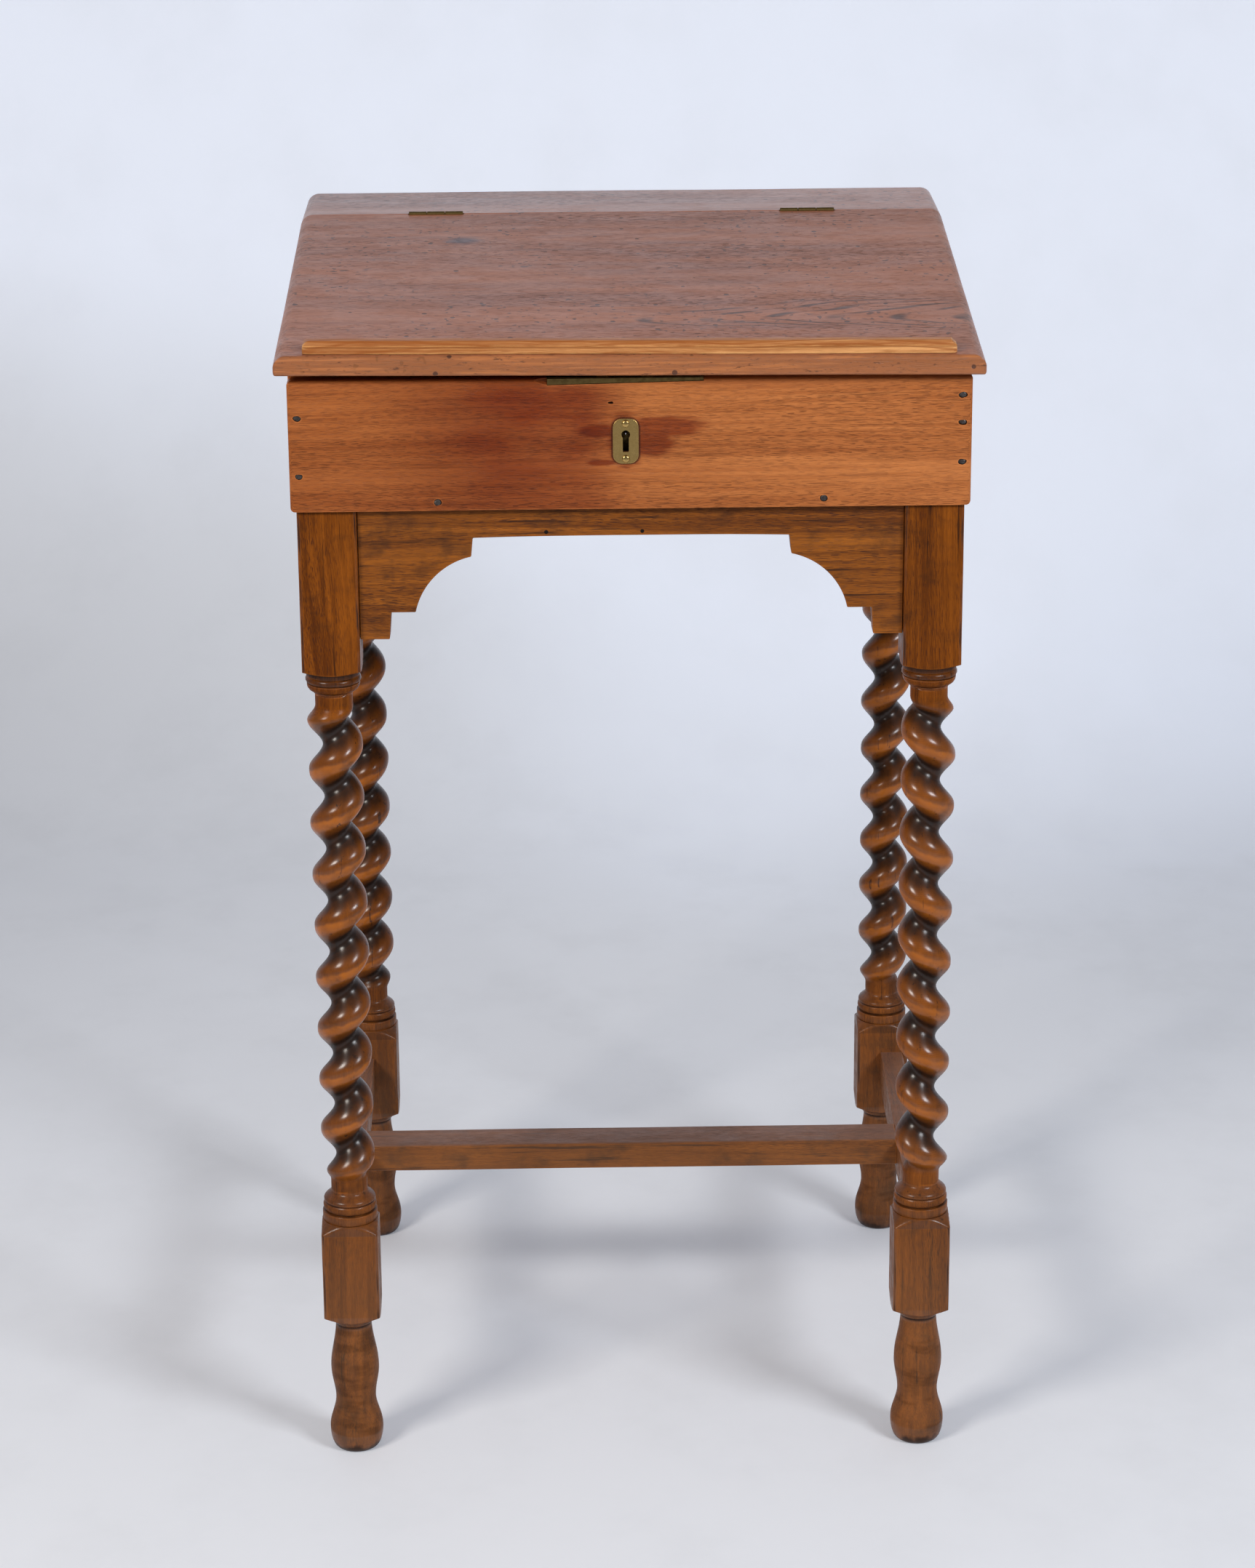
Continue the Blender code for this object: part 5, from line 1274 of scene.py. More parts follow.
def lower_stations():
    """Collar, lower block and foot below the twist."""
    corner = LEG_HALF * math.sqrt(2) + CORNER_SPARE
    shoulder = corner - CORNER_SPARE
    block_top = LOWER_BLOCK_RISE + LOWER_BLOCK_HEIGHT
    collar_base = block_top + LOWER_BLOCK_TOP_SHOULDER
    collar_top = collar_base + LOWER_COLLAR_HEIGHT
    bead_base = collar_top + QUIRK_HEIGHT
    bead_top = bead_base + BEAD_HEIGHT
    ogee_base = bead_top + QUIRK_HEIGHT
    ogee_top = ogee_base + OGEE_HEIGHT
    stations = [(ogee_top, NECK_RADIUS, 0.15)]
    stations += eased(ogee_top, NECK_RADIUS, ogee_base + 0.0008, OGEE_RADIUS, 0.42)
    stations += [(ogee_base, OGEE_RADIUS, 0.5), (ogee_base - 0.0001, OGEE_RADIUS - QUIRK_DEPTH, 1.0)]
    stations += bead(bead_top, bead_base, OGEE_RADIUS - QUIRK_DEPTH, BEAD_RADIUS)
    stations += [
        (collar_top + 0.0002, OGEE_RADIUS - QUIRK_DEPTH, 1.0),
        (collar_top, LOWER_COLLAR_RADIUS - 0.0003, 0.5),
        (collar_top - 0.0004, LOWER_COLLAR_RADIUS, 0.1),
        (collar_base + 0.0006, LOWER_COLLAR_RADIUS, 0.1),
        (collar_base, LOWER_COLLAR_RADIUS - 0.0004, 0.9),
    ]
    stations += straight(collar_base - 0.0002, LEG_HALF, block_top, shoulder, PROFILE_STEPS, 0.45)
    block_steps = round(LOWER_BLOCK_HEIGHT / BLOCK_STEP)
    stations += straight(block_top - 0.0002, corner, LOWER_BLOCK_RISE, corner, block_steps)
    ring_top = LOWER_BLOCK_RISE - LOWER_BLOCK_BASE_SHOULDER
    stations += straight(LOWER_BLOCK_RISE - 0.0002, shoulder, ring_top, LEG_HALF, PROFILE_STEPS, 0.2)
    stations.append((ring_top - 0.0001, FOOT_RING_RADIUS, 1.0))
    ring_base = ring_top - FOOT_RING_HEIGHT
    stations += quarter(ring_top - 0.0006, FOOT_RING_RADIUS, ring_base, FOOT_NECK_RADIUS + 0.0006, 0.15)
    stations.append((ring_base - 0.0003, FOOT_NECK_RADIUS, 0.9))
    stations += eased(ring_base - 0.0006, FOOT_NECK_RADIUS, *FOOT_SWELL)
    stations += eased(*FOOT_SWELL, *FOOT_WAIST)
    stations += eased(*FOOT_WAIST, *FOOT_BALL)
    stations += quarter(*FOOT_BALL, 0.0, FOOT_RIM_RADIUS, 0.25)
    return stations


def block_radius(angle, arris):
    """Distance from a leg's middle to the side of its square block, with the corner eased."""
    within = abs((angle + math.pi / 4) % (math.pi / 2) - math.pi / 4)
    inner = LEG_HALF - arris
    if math.tan(within) * LEG_HALF <= inner:
        return LEG_HALF / math.cos(within)
    along = inner * (math.cos(within) + math.sin(within))
    off = 2 * inner * inner - along * along
    return along + math.sqrt(max(arris * arris - off, 0.0))


def corner_angle(angle):
    """Angle of a column where the columns are drawn in towards the corners of a block."""
    eighth = math.pi / 4
    steps = LEG_COLUMNS // 8
    number = round(angle / eighth * steps)
    octant, step = divmod(number, steps)
    if octant % 2:
        return (octant + 1) * eighth - math.radians(CORNER_COLUMNS[steps - step])
    return octant * eighth + math.radians(CORNER_COLUMNS[step])


def corner_dirt(angle):
    """How much old polish has gathered beside the corner of a block."""
    within = math.degrees(abs((angle + math.pi / 4) % (math.pi / 2) - math.pi / 4))
    return max(0.0, 1 - abs(within - DIRT_COLUMN) / DIRT_REACH)


def twist_strength(from_top, from_base):
    part = (min(from_top, from_base) - NECK_LENGTH) / TWIST_FADE
    part = min(max(part, 0.0), 1.0)
    return part * part * (3 - 2 * part)


class LegSkin:
    """Rings of one leg, with the values that its finish reads at each point."""

    def __init__(self, middle, seed, sizes):
        self.middle = middle
        self.seed = seed
        self.sizes = sizes
        self.rings = []
        self.values = {"rope": [], "lie": [], "hollow": []}

    def note(self, rope, lie, hollow):
        self.values["rope"].append(rope)
        self.values["lie"].append(lie)
        self.values["hollow"].append(hollow)

    def add_turned(self, stations, turn):
        for level, radius, hollow in stations:
            ring = []
            for step in range(LEG_COLUMNS):
                angle = corner_angle(2 * math.pi * step / LEG_COLUMNS + turn)
                grain = noise.noise(Vector((math.cos(angle), math.sin(angle), level * 40 + self.seed)))
                arris = self.sizes.arris * (1.0 + 0.6 * grain)
                reach = min(block_radius(angle, arris), radius)
                ring.append(self.middle + Vector((reach * math.cos(angle), reach * math.sin(angle), level)))
                dirt = corner_dirt(angle) * (0.5 + grain) if radius > block_radius(angle, arris) else 0.0
                self.note(0.0, 0.0, max(hollow, dirt))
            self.rings.append(ring)

    def add_twist(self, top, base, hand, start):
        sizes = self.sizes
        turns = round((top - base) / TWIST_PITCH * TURN_PARTS) / TURN_PARTS
        steps = round(turns * TWIST_RINGS_PER_TURN)
        for step in range(1, steps):
            level = top + (base - top) * step / steps
            turn = -hand * 2 * math.pi * turns * step / steps
            strength = twist_strength(top - level, level - base)
            ring = []
            for column in range(LEG_COLUMNS):
                around = 2 * math.pi * column / LEG_COLUMNS
                angle = around + turn
                away = around - start
                height = 1 - ((1 - math.cos(away)) / 2) ** (1 / sizes.fullness)
                rope = sizes.groove + (sizes.crest - sizes.groove) * height
                place = Vector((math.cos(angle), math.sin(angle), level * 55 + self.seed))
                rope += sizes.tremble * noise.noise(place) * 2 * height
                reach = NECK_RADIUS + strength * (rope - NECK_RADIUS)
                ring.append(self.middle + Vector((reach * math.cos(angle), reach * math.sin(angle), level)))
                lie = (away / math.pi + 1) % 2 - 1
                self.note(strength, -hand * lie, strength * (1 - height) ** 1.5)
            self.rings.append(ring)
        return -hand * 2 * math.pi * turns


def leg_mesh(name, hand, start_degrees, seed):
    low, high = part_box(name)
    made = LegSkin(Vector(((low.x + high.x) / 2, (low.y + high.y) / 2, 0)), seed, settings().legs)
    above = upper_stations()
    below = lower_stations()
    made.add_turned(above, 0.0)
    turn = made.add_twist(above[-1][0], below[0][0], hand, math.radians(start_degrees))
    made.add_turned(below, turn)
    mesh = skin(name, made.rings)
    for key, values in made.values.items():
        mesh.attributes.new(key, "FLOAT", "POINT").data.foreach_set("value", values)
    return smooth(mesh, LEG_SHARP_ANGLE)


class TableOperator:
    """What all operators of the table share."""

    bl_options = {"REGISTER"}


class MakeLegs(TableOperator, bpy.types.Operator):
    """Turns and carves the four legs"""

    bl_idname = "writing_table.make_legs"
    bl_label = "Legs"

    def execute(self, context):
        for seed, (name, hand, start) in enumerate(LEGS):
            mesh = leg_mesh(name, hand, start, 3.7 * seed)
            add_piece(f"turned_{name}", mesh, leg_finish(), "frame", "leg_oak", name)
        return {"FINISHED"}


# Aprons and stretchers


def apron_outline(middle, half, bow):
    """Shaped board: deep at its ends, stepped and scalloped up to a shallow middle."""
    scallop = APRON_STEP_DEPTH - APRON_BEAK_DEPTH
    step_at = half - APRON_END_WIDTH
    curve_at = step_at - APRON_STEP_WIDTH
    right = [
        (half, LEG_HEIGHT),
        (half, LEG_HEIGHT - APRON_END_DEPTH),
        (step_at + APRON_LEAN, LEG_HEIGHT - APRON_END_DEPTH),
        (step_at, LEG_HEIGHT - APRON_STEP_DEPTH),
    ]
    ease = math.radians(SCALLOP_EASE)
    radius = scallop / (math.cos(ease) - math.sin(ease))
    centre = (curve_at - radius * math.cos(ease), LEG_HEIGHT - APRON_STEP_DEPTH - radius * math.sin(ease))
    right += arc(*centre, radius, SCALLOP_EASE, 90 - SCALLOP_EASE, SCALLOP_STEPS)
    beak = curve_at - scallop - APRON_LEAN
    for step in range(BOW_STEPS + 1):
        part = 1 - step / BOW_STEPS
        right.append((beak * part, LEG_HEIGHT - APRON_MIDDLE_DEPTH + bow * (1 - part * part)))
    left = [(-along, level) for along, level in reversed(right[:-1])]
    return [(middle + along, level) for along, level in right + left]


class MakeAprons(TableOperator, bpy.types.Operator):
    """Saws the four shaped aprons and the brads in the front one"""

    bl_idname = "writing_table.make_aprons"
    bl_label = "Aprons"

    def execute(self, context):
        sizes = settings().boards
        other_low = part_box("leg_rear_right")[0]
        for seed, (name, axis) in enumerate(
            (("apron_front", "X"), ("apron_rear", "X"), ("apron_left", "Y"), ("apron_right", "Y"))
        ):
            low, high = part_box(name)
            along = 0 if axis == "X" else 1
            start = LEFT_LEG_HIGH[along] + FIT_GAP
            end = other_low[along] - FIT_GAP
            outline = apron_outline((start + end) / 2, (end - start) / 2, sizes.bow)
            cross = "Y" if axis == "X" else "X"
            over = 1 - along
            rings = drawn(outline, cross, low[over], high[over], 1, sizes.wander * 2, 5.0 * seed + 1.0)
            mesh = worked(name, skin(name, rings), sizes.arris * 0.8)
            add_piece(f"shaped_{name}", mesh, rail_finish(axis), "frame", "rail_oak", name)
        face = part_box("apron_front")[0].y
        height = LEG_HEIGHT - APRON_MIDDLE_DEPTH + sizes.bow + BRAD_RISE
        stations = ((0.0, BRAD_RADIUS * 0.7), (0.0002, BRAD_RADIUS), (0.0010, BRAD_RADIUS * 0.9))
        for number, x in enumerate(BRAD_PLACES, 1):
            mesh = smooth(skin("brad", turned((x, face - 0.0001, height), (0, 1, 0), stations, 12)))
            add_piece(f"apron_brad_{number}", mesh, dark_iron_finish(), "frame", "iron")
        return {"FINISHED"}


class MakeStretchers(TableOperator, bpy.types.Operator):
    """Planes the two side stretchers and the cross stretcher"""

    bl_idname = "writing_table.make_stretchers"
    bl_label = "Stretchers"

    def execute(self, context):
        sizes = settings().boards
        other_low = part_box("leg_rear_right")[0]
        start = LEFT_LEG_HIGH.y + FIT_GAP
        end = other_low.y - FIT_GAP
        worn = sizes.worn_arris
        plain = sizes.arris
        for name, outer_first in (("side_stretcher_left", True), ("side_stretcher_right", False)):
            low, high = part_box(name)
            outline = rectangle(low.x, high.x, low.z, high.z)
            radii = (plain, plain, plain, worn) if outer_first else (plain, plain, worn, plain)
            rings = drawn(rounded(outline, radii), "Y", start, end, 24, sizes.wander, low.x * 40)
            mesh = worked(name, skin(name, rings))
            add_piece(f"planed_{name}", mesh, rail_finish("Y"), "frame", "rail_oak", name)
        low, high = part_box("cross_stretcher")
        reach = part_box("side_stretcher_right")[0].x - FIT_GAP
        outline = rounded(rectangle(low.y, high.y, low.z, high.z), (plain, plain, plain, worn))
        rings = drawn(outline, "X", -reach, reach, 32, sizes.wander, 8.0)
        mesh = worked("cross_stretcher", skin("cross_stretcher", rings))
        add_piece("planed_cross_stretcher", mesh, rail_finish("X"), "frame", "rail_oak", "cross_stretcher")
        return {"FINISHED"}


# Box


def keyhole_cutters(low, high):
    stations = [(0, KEYHOLE_RADIUS), (high - low, KEYHOLE_RADIUS)]
    round_part = turned((LOCK_X, low, KEYHOLE_Z), (0, 1, 0), stations, 32)
    half = KEYHOLE_SLOT_WIDTH / 2
    slot_low = (LOCK_X - half, low, KEYHOLE_Z - KEYHOLE_SLOT_LENGTH)
    slot = block_mesh(slot_low, (LOCK_X + half, high, KEYHOLE_Z))
    # The keyhole's walls take the black finish: painted shade inside the hole
    return [blackened_and_shaded(skin("keyhole", round_part)), blackened_and_shaded(slot)]


def lock_cutters():
    """Pocket of the lock and the seat of its brass top edge."""
    cutters = []
    for width, depth, height in (
        (LOCK_WIDTH, LOCK_DEPTH, LOCK_HEIGHT),
        (SELVEDGE_LENGTH, SELVEDGE_WIDTH, SELVEDGE_THICKNESS),
    ):
        half = width / 2 + FIT_GAP
        low = (LOCK_X - half, INNER_FRONT - depth - FIT_GAP, FRONT_BOARD_TOP - height - FIT_GAP)
        high = (LOCK_X + half, INNER_FRONT + CUT_REACH, FRONT_BOARD_TOP + CUT_REACH)
        cutters.append(block_mesh(low, high))
    return cutters


def nail_nodes():
    return sorted(name for name in frame["nodes"] if name.startswith("nail_"))


def nail_spread(name):
    """How far a nail head has been hammered out, along the board and up it."""
    return (1.08, 1.00) if "bottom" in name else (1.20, 0.80)


def spread_ring(ring, middle, spread):
    along, rise = spread
    found = []
    for point in ring:
        away = point - middle
        found.append(middle + Vector((away.x * along, away.y, away.z * rise)))
    return found


def nail_seat(name, before=0.0):
    """Middle of a nail's head, or a place before it, the way the nail was driven, and its length."""
    low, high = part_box(name)
    front = low.y < 0
    face = low.y if front else high.y
    way = 1 if front else -1
    middle = Vector(((low.x + high.x) / 2, face - way * before, (low.z + high.z) / 2))
    return middle, way, high.y - low.y


def pit_cutter(name, start, way, depth, radii, spread, *straying):
    """Ragged hole in the face of a board, black inside."""
    stations = [(0, radii[0]), (CUT_REACH + depth, radii[1])]
    rings = turned(start, (0, way, 0), stations, NAIL_COLUMNS)
    rings = [spread_ring(ring, start, spread) for ring in rings]
    return blackened_and_shaded(skin(name, ragged(rings, *straying)))


def nail_pit(name):
    """Shallow pit that a hammered nail head lies in."""
    start, way, _ = nail_seat(name, CUT_REACH)
    return pit_cutter("pit", start, way, PIT_DEPTH, PIT_RADII, nail_spread(name), 0.0008, 3.0, 300.0)


def old_nick():
    """Nick in the front board, left above the escutcheon."""
    right, above = NICK_PLACE
    start = Vector((LOCK_X + right, BOX_FRONT - CUT_REACH, ESCUTCHEON_Z + above))
    return pit_cutter("nick", start, 1, NICK_DEPTH, NICK_RADII, NICK_SPREAD, 0.0006, 5.0, 420.0)


def front_rings(profile, sizes):
    """Sections of the front board from left to right, drawn in at its rubbed corners."""
    ends = edge_steps(sizes.corner_round)
    span = BOX_HALF - sizes.corner_round
    places = [near - BOX_HALF for near in ends]
    places += [span * (2 * step / TOP_STRIPS - 1) for step in range(1, TOP_STRIPS)]
    places += [BOX_HALF - near for near in reversed(ends)]
    rings = []
    for x in places:
        inset = drawn_in(BOX_HALF - abs(x), sizes.corner_round)
        ring = []
        for y, z in profile:
            z = min(max(z, BOX_BASE + inset), FRONT_BOARD_TOP - inset)
            point = Vector((x, max(y, BOX_FRONT + inset * 0.4), z))
            ring.append(wandering(point, sizes.wander, 2.0))
        rings.append(ring)
    return rings


def selvedge_lip(reach, ease):
    """Tapered strip in front of the lock's brass edge, where the wood has been cut away."""
    rings = []
    for side, depth in ((-1, LIP_DEPTH_LEFT), (1, LIP_DEPTH_RIGHT)):
        x = LOCK_X + side * (SELVEDGE_LENGTH / 2 - ease)
        back = INNER_FRONT - SELVEDGE_WIDTH + FIT_GAP
        low = FRONT_BOARD_TOP - depth + ease
        high = FRONT_BOARD_TOP + reach
        front = BOX_FRONT - reach if reach > 0 else BOX_FRONT + LIP_SETBACK
        rings.append([Vector((x, y, z)) for y, z in rectangle(front, back, low, high)])
    return skin("lip", rings)


def chip_cutter():
    """Splintered place in the arris, left of the lock."""
    start = (LOCK_X - SELVEDGE_LENGTH / 2 - CHIP_LENGTH, BOX_FRONT - 0.0003, FRONT_BOARD_TOP - 0.0006)
    stations = [(CHIP_LENGTH * part, radius) for part, radius in CHIP_SHAPE]
    rings = turned(start, (1, 0, -0.03), stations, 12)
    return skin("chip", ragged(rings, 0.0009, 7.0, 220.0))


class MakeBox(TableOperator, bpy.types.Operator):
    """Planes the boards of the box and cuts the lock into the front one"""

    bl_idname = "writing_table.make_box"
    bl_label = "Box boards"

    def execute(self, context):
        sizes = settings().boards
        nails = nail_nodes()
        profile = [(BOX_FRONT, BOX_BASE), (INNER_FRONT, BOX_BASE), (INNER_FRONT, FRONT_BOARD_TOP)]
        top_arc = (BOX_FRONT + FRONT_ARRIS_RADIUS, FRONT_BOARD_TOP - FRONT_ARRIS_RADIUS, FRONT_ARRIS_RADIUS)
        profile += arc(*top_arc, 90, 180, 6)
        rings = front_rings(profile, sizes)
        pits = [nail_pit(name) for name in nails if "front" in name or "bottom" in name]
        cutters = lock_cutters() + keyhole_cutters(BOX_FRONT - CUT_REACH, INNER_FRONT) + pits
        # The lip's cut takes the black finish: painted shade in the gap at the brass edge
        cutters += [blackened_and_shaded(selvedge_lip(CUT_REACH, 0.0)), chip_cutter(), old_nick()]
        mesh = worked("front", skin("front", rings), sizes.arris * 0.6, cutters)
        finish = front_finish("front_wood")
        add_piece("planed_front_board", mesh, finish, "frame", "box_wood", "box_front_board")

        outline = rectangle(BACK_LOW.y, BACK_HIGH.y, BACK_LOW.z, BACK_HIGH.z)
        rings = drawn(outline, "X", BACK_LOW.x, BACK_HIGH.x, 30, sizes.wander, 3.0)
        pits = [nail_pit(name) for name in nails if "back" in name]
        mesh = worked("back", skin("back", rings), sizes.arris, pits)
        add_piece("planed_back_board", mesh, board_finish("X"), "frame", "box_wood", "box_back_board")

        outline = [
            (SIDE_LOW.y, SIDE_LOW.z),
            (SIDE_HIGH.y, SIDE_LOW.z),
            (SIDE_HIGH.y, SIDE_HIGH.z),
            (HINGE_Y, SIDE_HIGH.z),
            (SIDE_LOW.y, lid_under(SIDE_LOW.y) - FIT_GAP),
        ]
        for name in ("box_left_board", "box_right_board"):
            low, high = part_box(name)
            rings = drawn(outline, "X", low.x, high.x, 1, sizes.wander, low.x * 30)
            mesh = worked(name, skin(name, rings), sizes.arris * 0.7)
            add_piece(f"planed_{name}", mesh, board_finish("Y"), "frame", "box_wood", name)

        outline = rectangle(BOTTOM_LOW.y, BOTTOM_HIGH.y, BOTTOM_LOW.z, BOTTOM_HIGH.z)
        rings = drawn(outline, "X", BOTTOM_LOW.x, BOTTOM_HIGH.x, 20, sizes.wander, 5.0)
        mesh = worked("bottom", skin("bottom", rings), sizes.arris)
        finish = pine_finish("pine_bare", False)
        add_piece("planed_bottom_board", mesh, finish, "frame", "pine", "box_bottom_board")
        return {"FINISHED"}


class MakeNails(TableOperator, bpy.types.Operator):
    """Hammers the square-shanked nails of the box"""

    bl_idname = "writing_table.make_nails"
    bl_label = "Nails"

    def execute(self, context):
        for seed, name in enumerate(nail_nodes()):
            middle, way, long = nail_seat(name)
            rings = turned(middle, (0, way, 0), (*NAIL_HEAD, (long, NAIL_TIP_RADIUS)), NAIL_COLUMNS)
            head = [spread_ring(ring, middle, nail_spread(name)) for ring in rings[:NAIL_SPREAD_RINGS]]
            rings[:NAIL_SPREAD_RINGS] = ragged(head, 0.0007, 1.3 * seed, 260.0)
            mesh = smooth(skin(name, rings), METAL_SHARP_ANGLE)
            add_piece(f"hammered_{name}", mesh, iron_finish(), "frame", "iron", name)
        return {"FINISHED"}


# Lid, ledge and pen rest


def lid_under(y):
    """Height of the unwarped underside of the lid at a place front to back."""
    return FRONT_BOARD_TOP + LID_FRONT_GAP + (y - BOX_FRONT) * math.tan(LID_SLOPE)


def lid_point(x, y, level):
    """Place on the lid at a level above its underside, with its wind: the left front corner lifts."""
    forward = (HINGE_Y - y) / (HINGE_Y - TOP_FRONT)
    lift = LID_WIND * (0.5 - x / (2 * TOP_HALF)) * forward
    return Vector((x, y, lid_under(y) + level / math.cos(LID_SLOPE) + lift))


def drawn_in(near, radius):
    """How far a rounded edge has drawn in at a distance from the end of its board."""
    if near >= radius:
        return 0.0
    return radius - math.sqrt(radius * radius - (radius - near) ** 2)


def edge_steps(radius, steps=6):
    """Distances from the end of a board at which a rounded edge is drawn."""
    return [radius * (1 - math.cos(math.pi / 2 * step / steps)) for step in range(steps + 1)]


def lid_ring(profile, y, sizes):
    """Section of the lid at a place front to back, drawn in where its front edges are rounded."""
    near = y - TOP_FRONT
    above = drawn_in(near, sizes.front_round)
    under = drawn_in(near, TOP_UNDER_ROUND)
    ring = []
    for x, level in profile:
        level = min(max(level, under), TOP_THICKNESS - above)
        x = min(max(x, above - TOP_HALF), TOP_HALF - above)
        ring.append(wandering(lid_point(x, y, level), sizes.wander, 4.0))
    return ring


def top_profile(edge_round):
    """Section of the top across its width: rounded over at each side, with points along its faces."""
    right = arc(TOP_HALF - TOP_UNDER_ROUND, TOP_UNDER_ROUND, TOP_UNDER_ROUND, -90, 0, 4)
    right += arc(TOP_HALF - edge_round, TOP_THICKNESS - edge_round, edge_round, 0, 90, TOP_ROUND_STEPS)
    left = [(-x, level) for x, level in reversed(right)]
    flat = [1 - 2 * step / TOP_STRIPS for step in range(1, TOP_STRIPS)]
    above = [((TOP_HALF - edge_round) * part, TOP_THICKNESS) for part in flat]
    below = [(-(TOP_HALF - TOP_UNDER_ROUND) * part, 0) for part in flat]
    return right + above + left + below


def hinge_x(side):
    return side * HINGE_SPAN / 2


def hinge_cutters(way):
    """Seats of the leaves and knuckles: way -1 cuts the lid, way 1 the ledge."""
    cutters = []
    for side in (-1, 1):
        half = HINGE_LENGTH / 2 + FIT_GAP
        near = HINGE_Y - way * CUT_REACH
        far = HINGE_Y + way * (FIT_GAP / 2 + LEAF_THICKNESS + FIT_GAP)
        cutters.append(
            block_mesh(
                (hinge_x(side) - half, min(near, far), TOP_HEIGHT - LEAF_HEIGHT - FIT_GAP),
                (hinge_x(side) + half, max(near, far), TOP_HEIGHT - PIN_RADIUS),
            )
        )
        radius = KNUCKLE_RADIUS + FIT_GAP
        half += FIT_GAP
        start = (hinge_x(side) - half, HINGE_Y, TOP_HEIGHT)
        cutters.append(skin("knuckle_seat", turned(start, (1, 0, 0), [(0, radius), (2 * half, radius)], 24)))
    return cutters


class MakeTop(TableOperator, bpy.types.Operator):
    """Planes the lid and the fixed ledge behind it"""

    bl_idname = "writing_table.make_top"
    bl_label = "Lid and ledge"

    def execute(self, context):
        sizes = settings().boards
        profile = top_profile(sizes.edge_round)
        lid_back = HINGE_Y - LID_JOINT / 2
        start = TOP_FRONT + sizes.front_round
        places = [TOP_FRONT + near for near in edge_steps(sizes.front_round)]
        places += [start + (lid_back - start) * step / TOP_STRIPS for step in range(1, TOP_STRIPS + 1)]
        rings = [lid_ring(profile, y, sizes) for y in places]
        link_low, link_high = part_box("lock_link_plate")
        under = lid_under(TOP_FRONT) - CUT_REACH
        seat = block_mesh(
            (link_low.x - FIT_GAP, link_low.y - FIT_GAP, under),
            (link_high.x + FIT_GAP, link_high.y + FIT_GAP, link_high.z + FIT_GAP / 2),
        )
        cutters = hinge_cutters(-1) + [seat]
        mesh = worked("lid", skin("lid", rings), sizes.arris * 0.4, cutters)
        finish = top_finish("lid_wood", 0.5, 0.0)
        add_piece("planed_lid", mesh, finish, "lid", "top_wood", "lid_board")

        outline = [(x, LEDGE_LOW.z + level) for x, level in profile]
        ledge_front = HINGE_Y + LID_JOINT / 2
        rings = drawn(outline, "Y", ledge_front, LEDGE_HIGH.y, 6, sizes.wander, 6.0)
        mesh = worked("ledge", skin("ledge", rings), sizes.arris, hinge_cutters(1))
        finish = top_finish("ledge_wood", 0.9, 0.35)
        add_piece("planed_ledge", mesh, finish, "frame", "top_wood", "ledge_board")
        return {"FINISHED"}


class MakePenRest(TableOperator, bpy.types.Operator):
    """Moulds the pine strip along the front of the lid"""

    bl_idname = "writing_table.make_pen_rest"
    bl_label = "Pen rest"

    def execute(self, context):
        base = TOP_THICKNESS + FIT_GAP
        front = TOP_FRONT + PEN_REST_SETBACK
        back = front + PEN_REST_DEPTH
        crown = base + PEN_REST_HEIGHT
        step = front + PEN_REST_LIP_DEPTH
        lip = base + PEN_REST_LIP_HEIGHT
        outline = [(front, base), (back, base)]
        outline += arc(back - PEN_REST_ROUND, crown - PEN_REST_ROUND, PEN_REST_ROUND, 0, 90, 8)
        outline += arc(step + PEN_REST_ROUND, crown - PEN_REST_ROUND, PEN_REST_ROUND, 90, 180, 8)
        outline += [(step, lip + 0.0003), (step - 0.0004, lip)]
        lip_round = PEN_REST_LIP_ROUND
        outline += arc(front + lip_round, lip - lip_round, lip_round, 90, 180, 5)
        half = PEN_REST_LENGTH / 2
        places = [near - half for near in edge_steps(PEN_REST_END_ROUND)]
        start = places[-1]
        span = half - PEN_REST_CHAMFER - start
        places += [start + span * step / PEN_REST_STRIPS for step in range(1, PEN_REST_STRIPS + 1)]
        places.append(half)
        rings = []
        for x in places:
            inset = drawn_in(x + half, PEN_REST_END_ROUND) * 0.7
            inset += max(0.0, x - half + PEN_REST_CHAMFER)
            ring = []
            for y, level in outline:
                y = min(max(y, front + inset * 0.5), back - inset * 0.5)
                point = lid_point(x, y, min(level, crown - inset))
                ring.append(wandering(point, settings().boards.wander, 9.0))
            rings.append(ring)
        mesh = worked("pen_rest", skin("pen_rest", rings), 0.0008)
        add_piece("moulded_pen_rest", mesh, pine_finish("pine_polished", True), "lid", "pine", "pen_rest")
        return {"FINISHED"}


# Hinges, lock and escutcheon


def barrel(side, low_part, high_part, radius, columns=28):
    left = hinge_x(side) - HINGE_LENGTH / 2
    low = left + HINGE_LENGTH * low_part + FIT_GAP / 2
    span = HINGE_LENGTH * (high_part - low_part) - FIT_GAP
    ease = min(0.0003, radius * 0.4)
    stations = [(0, radius - ease), (ease, radius), (span - ease, radius), (span, radius - ease)]
    return skin("barrel", turned((low, HINGE_Y, TOP_HEIGHT), (1, 0, 0), stations, columns))


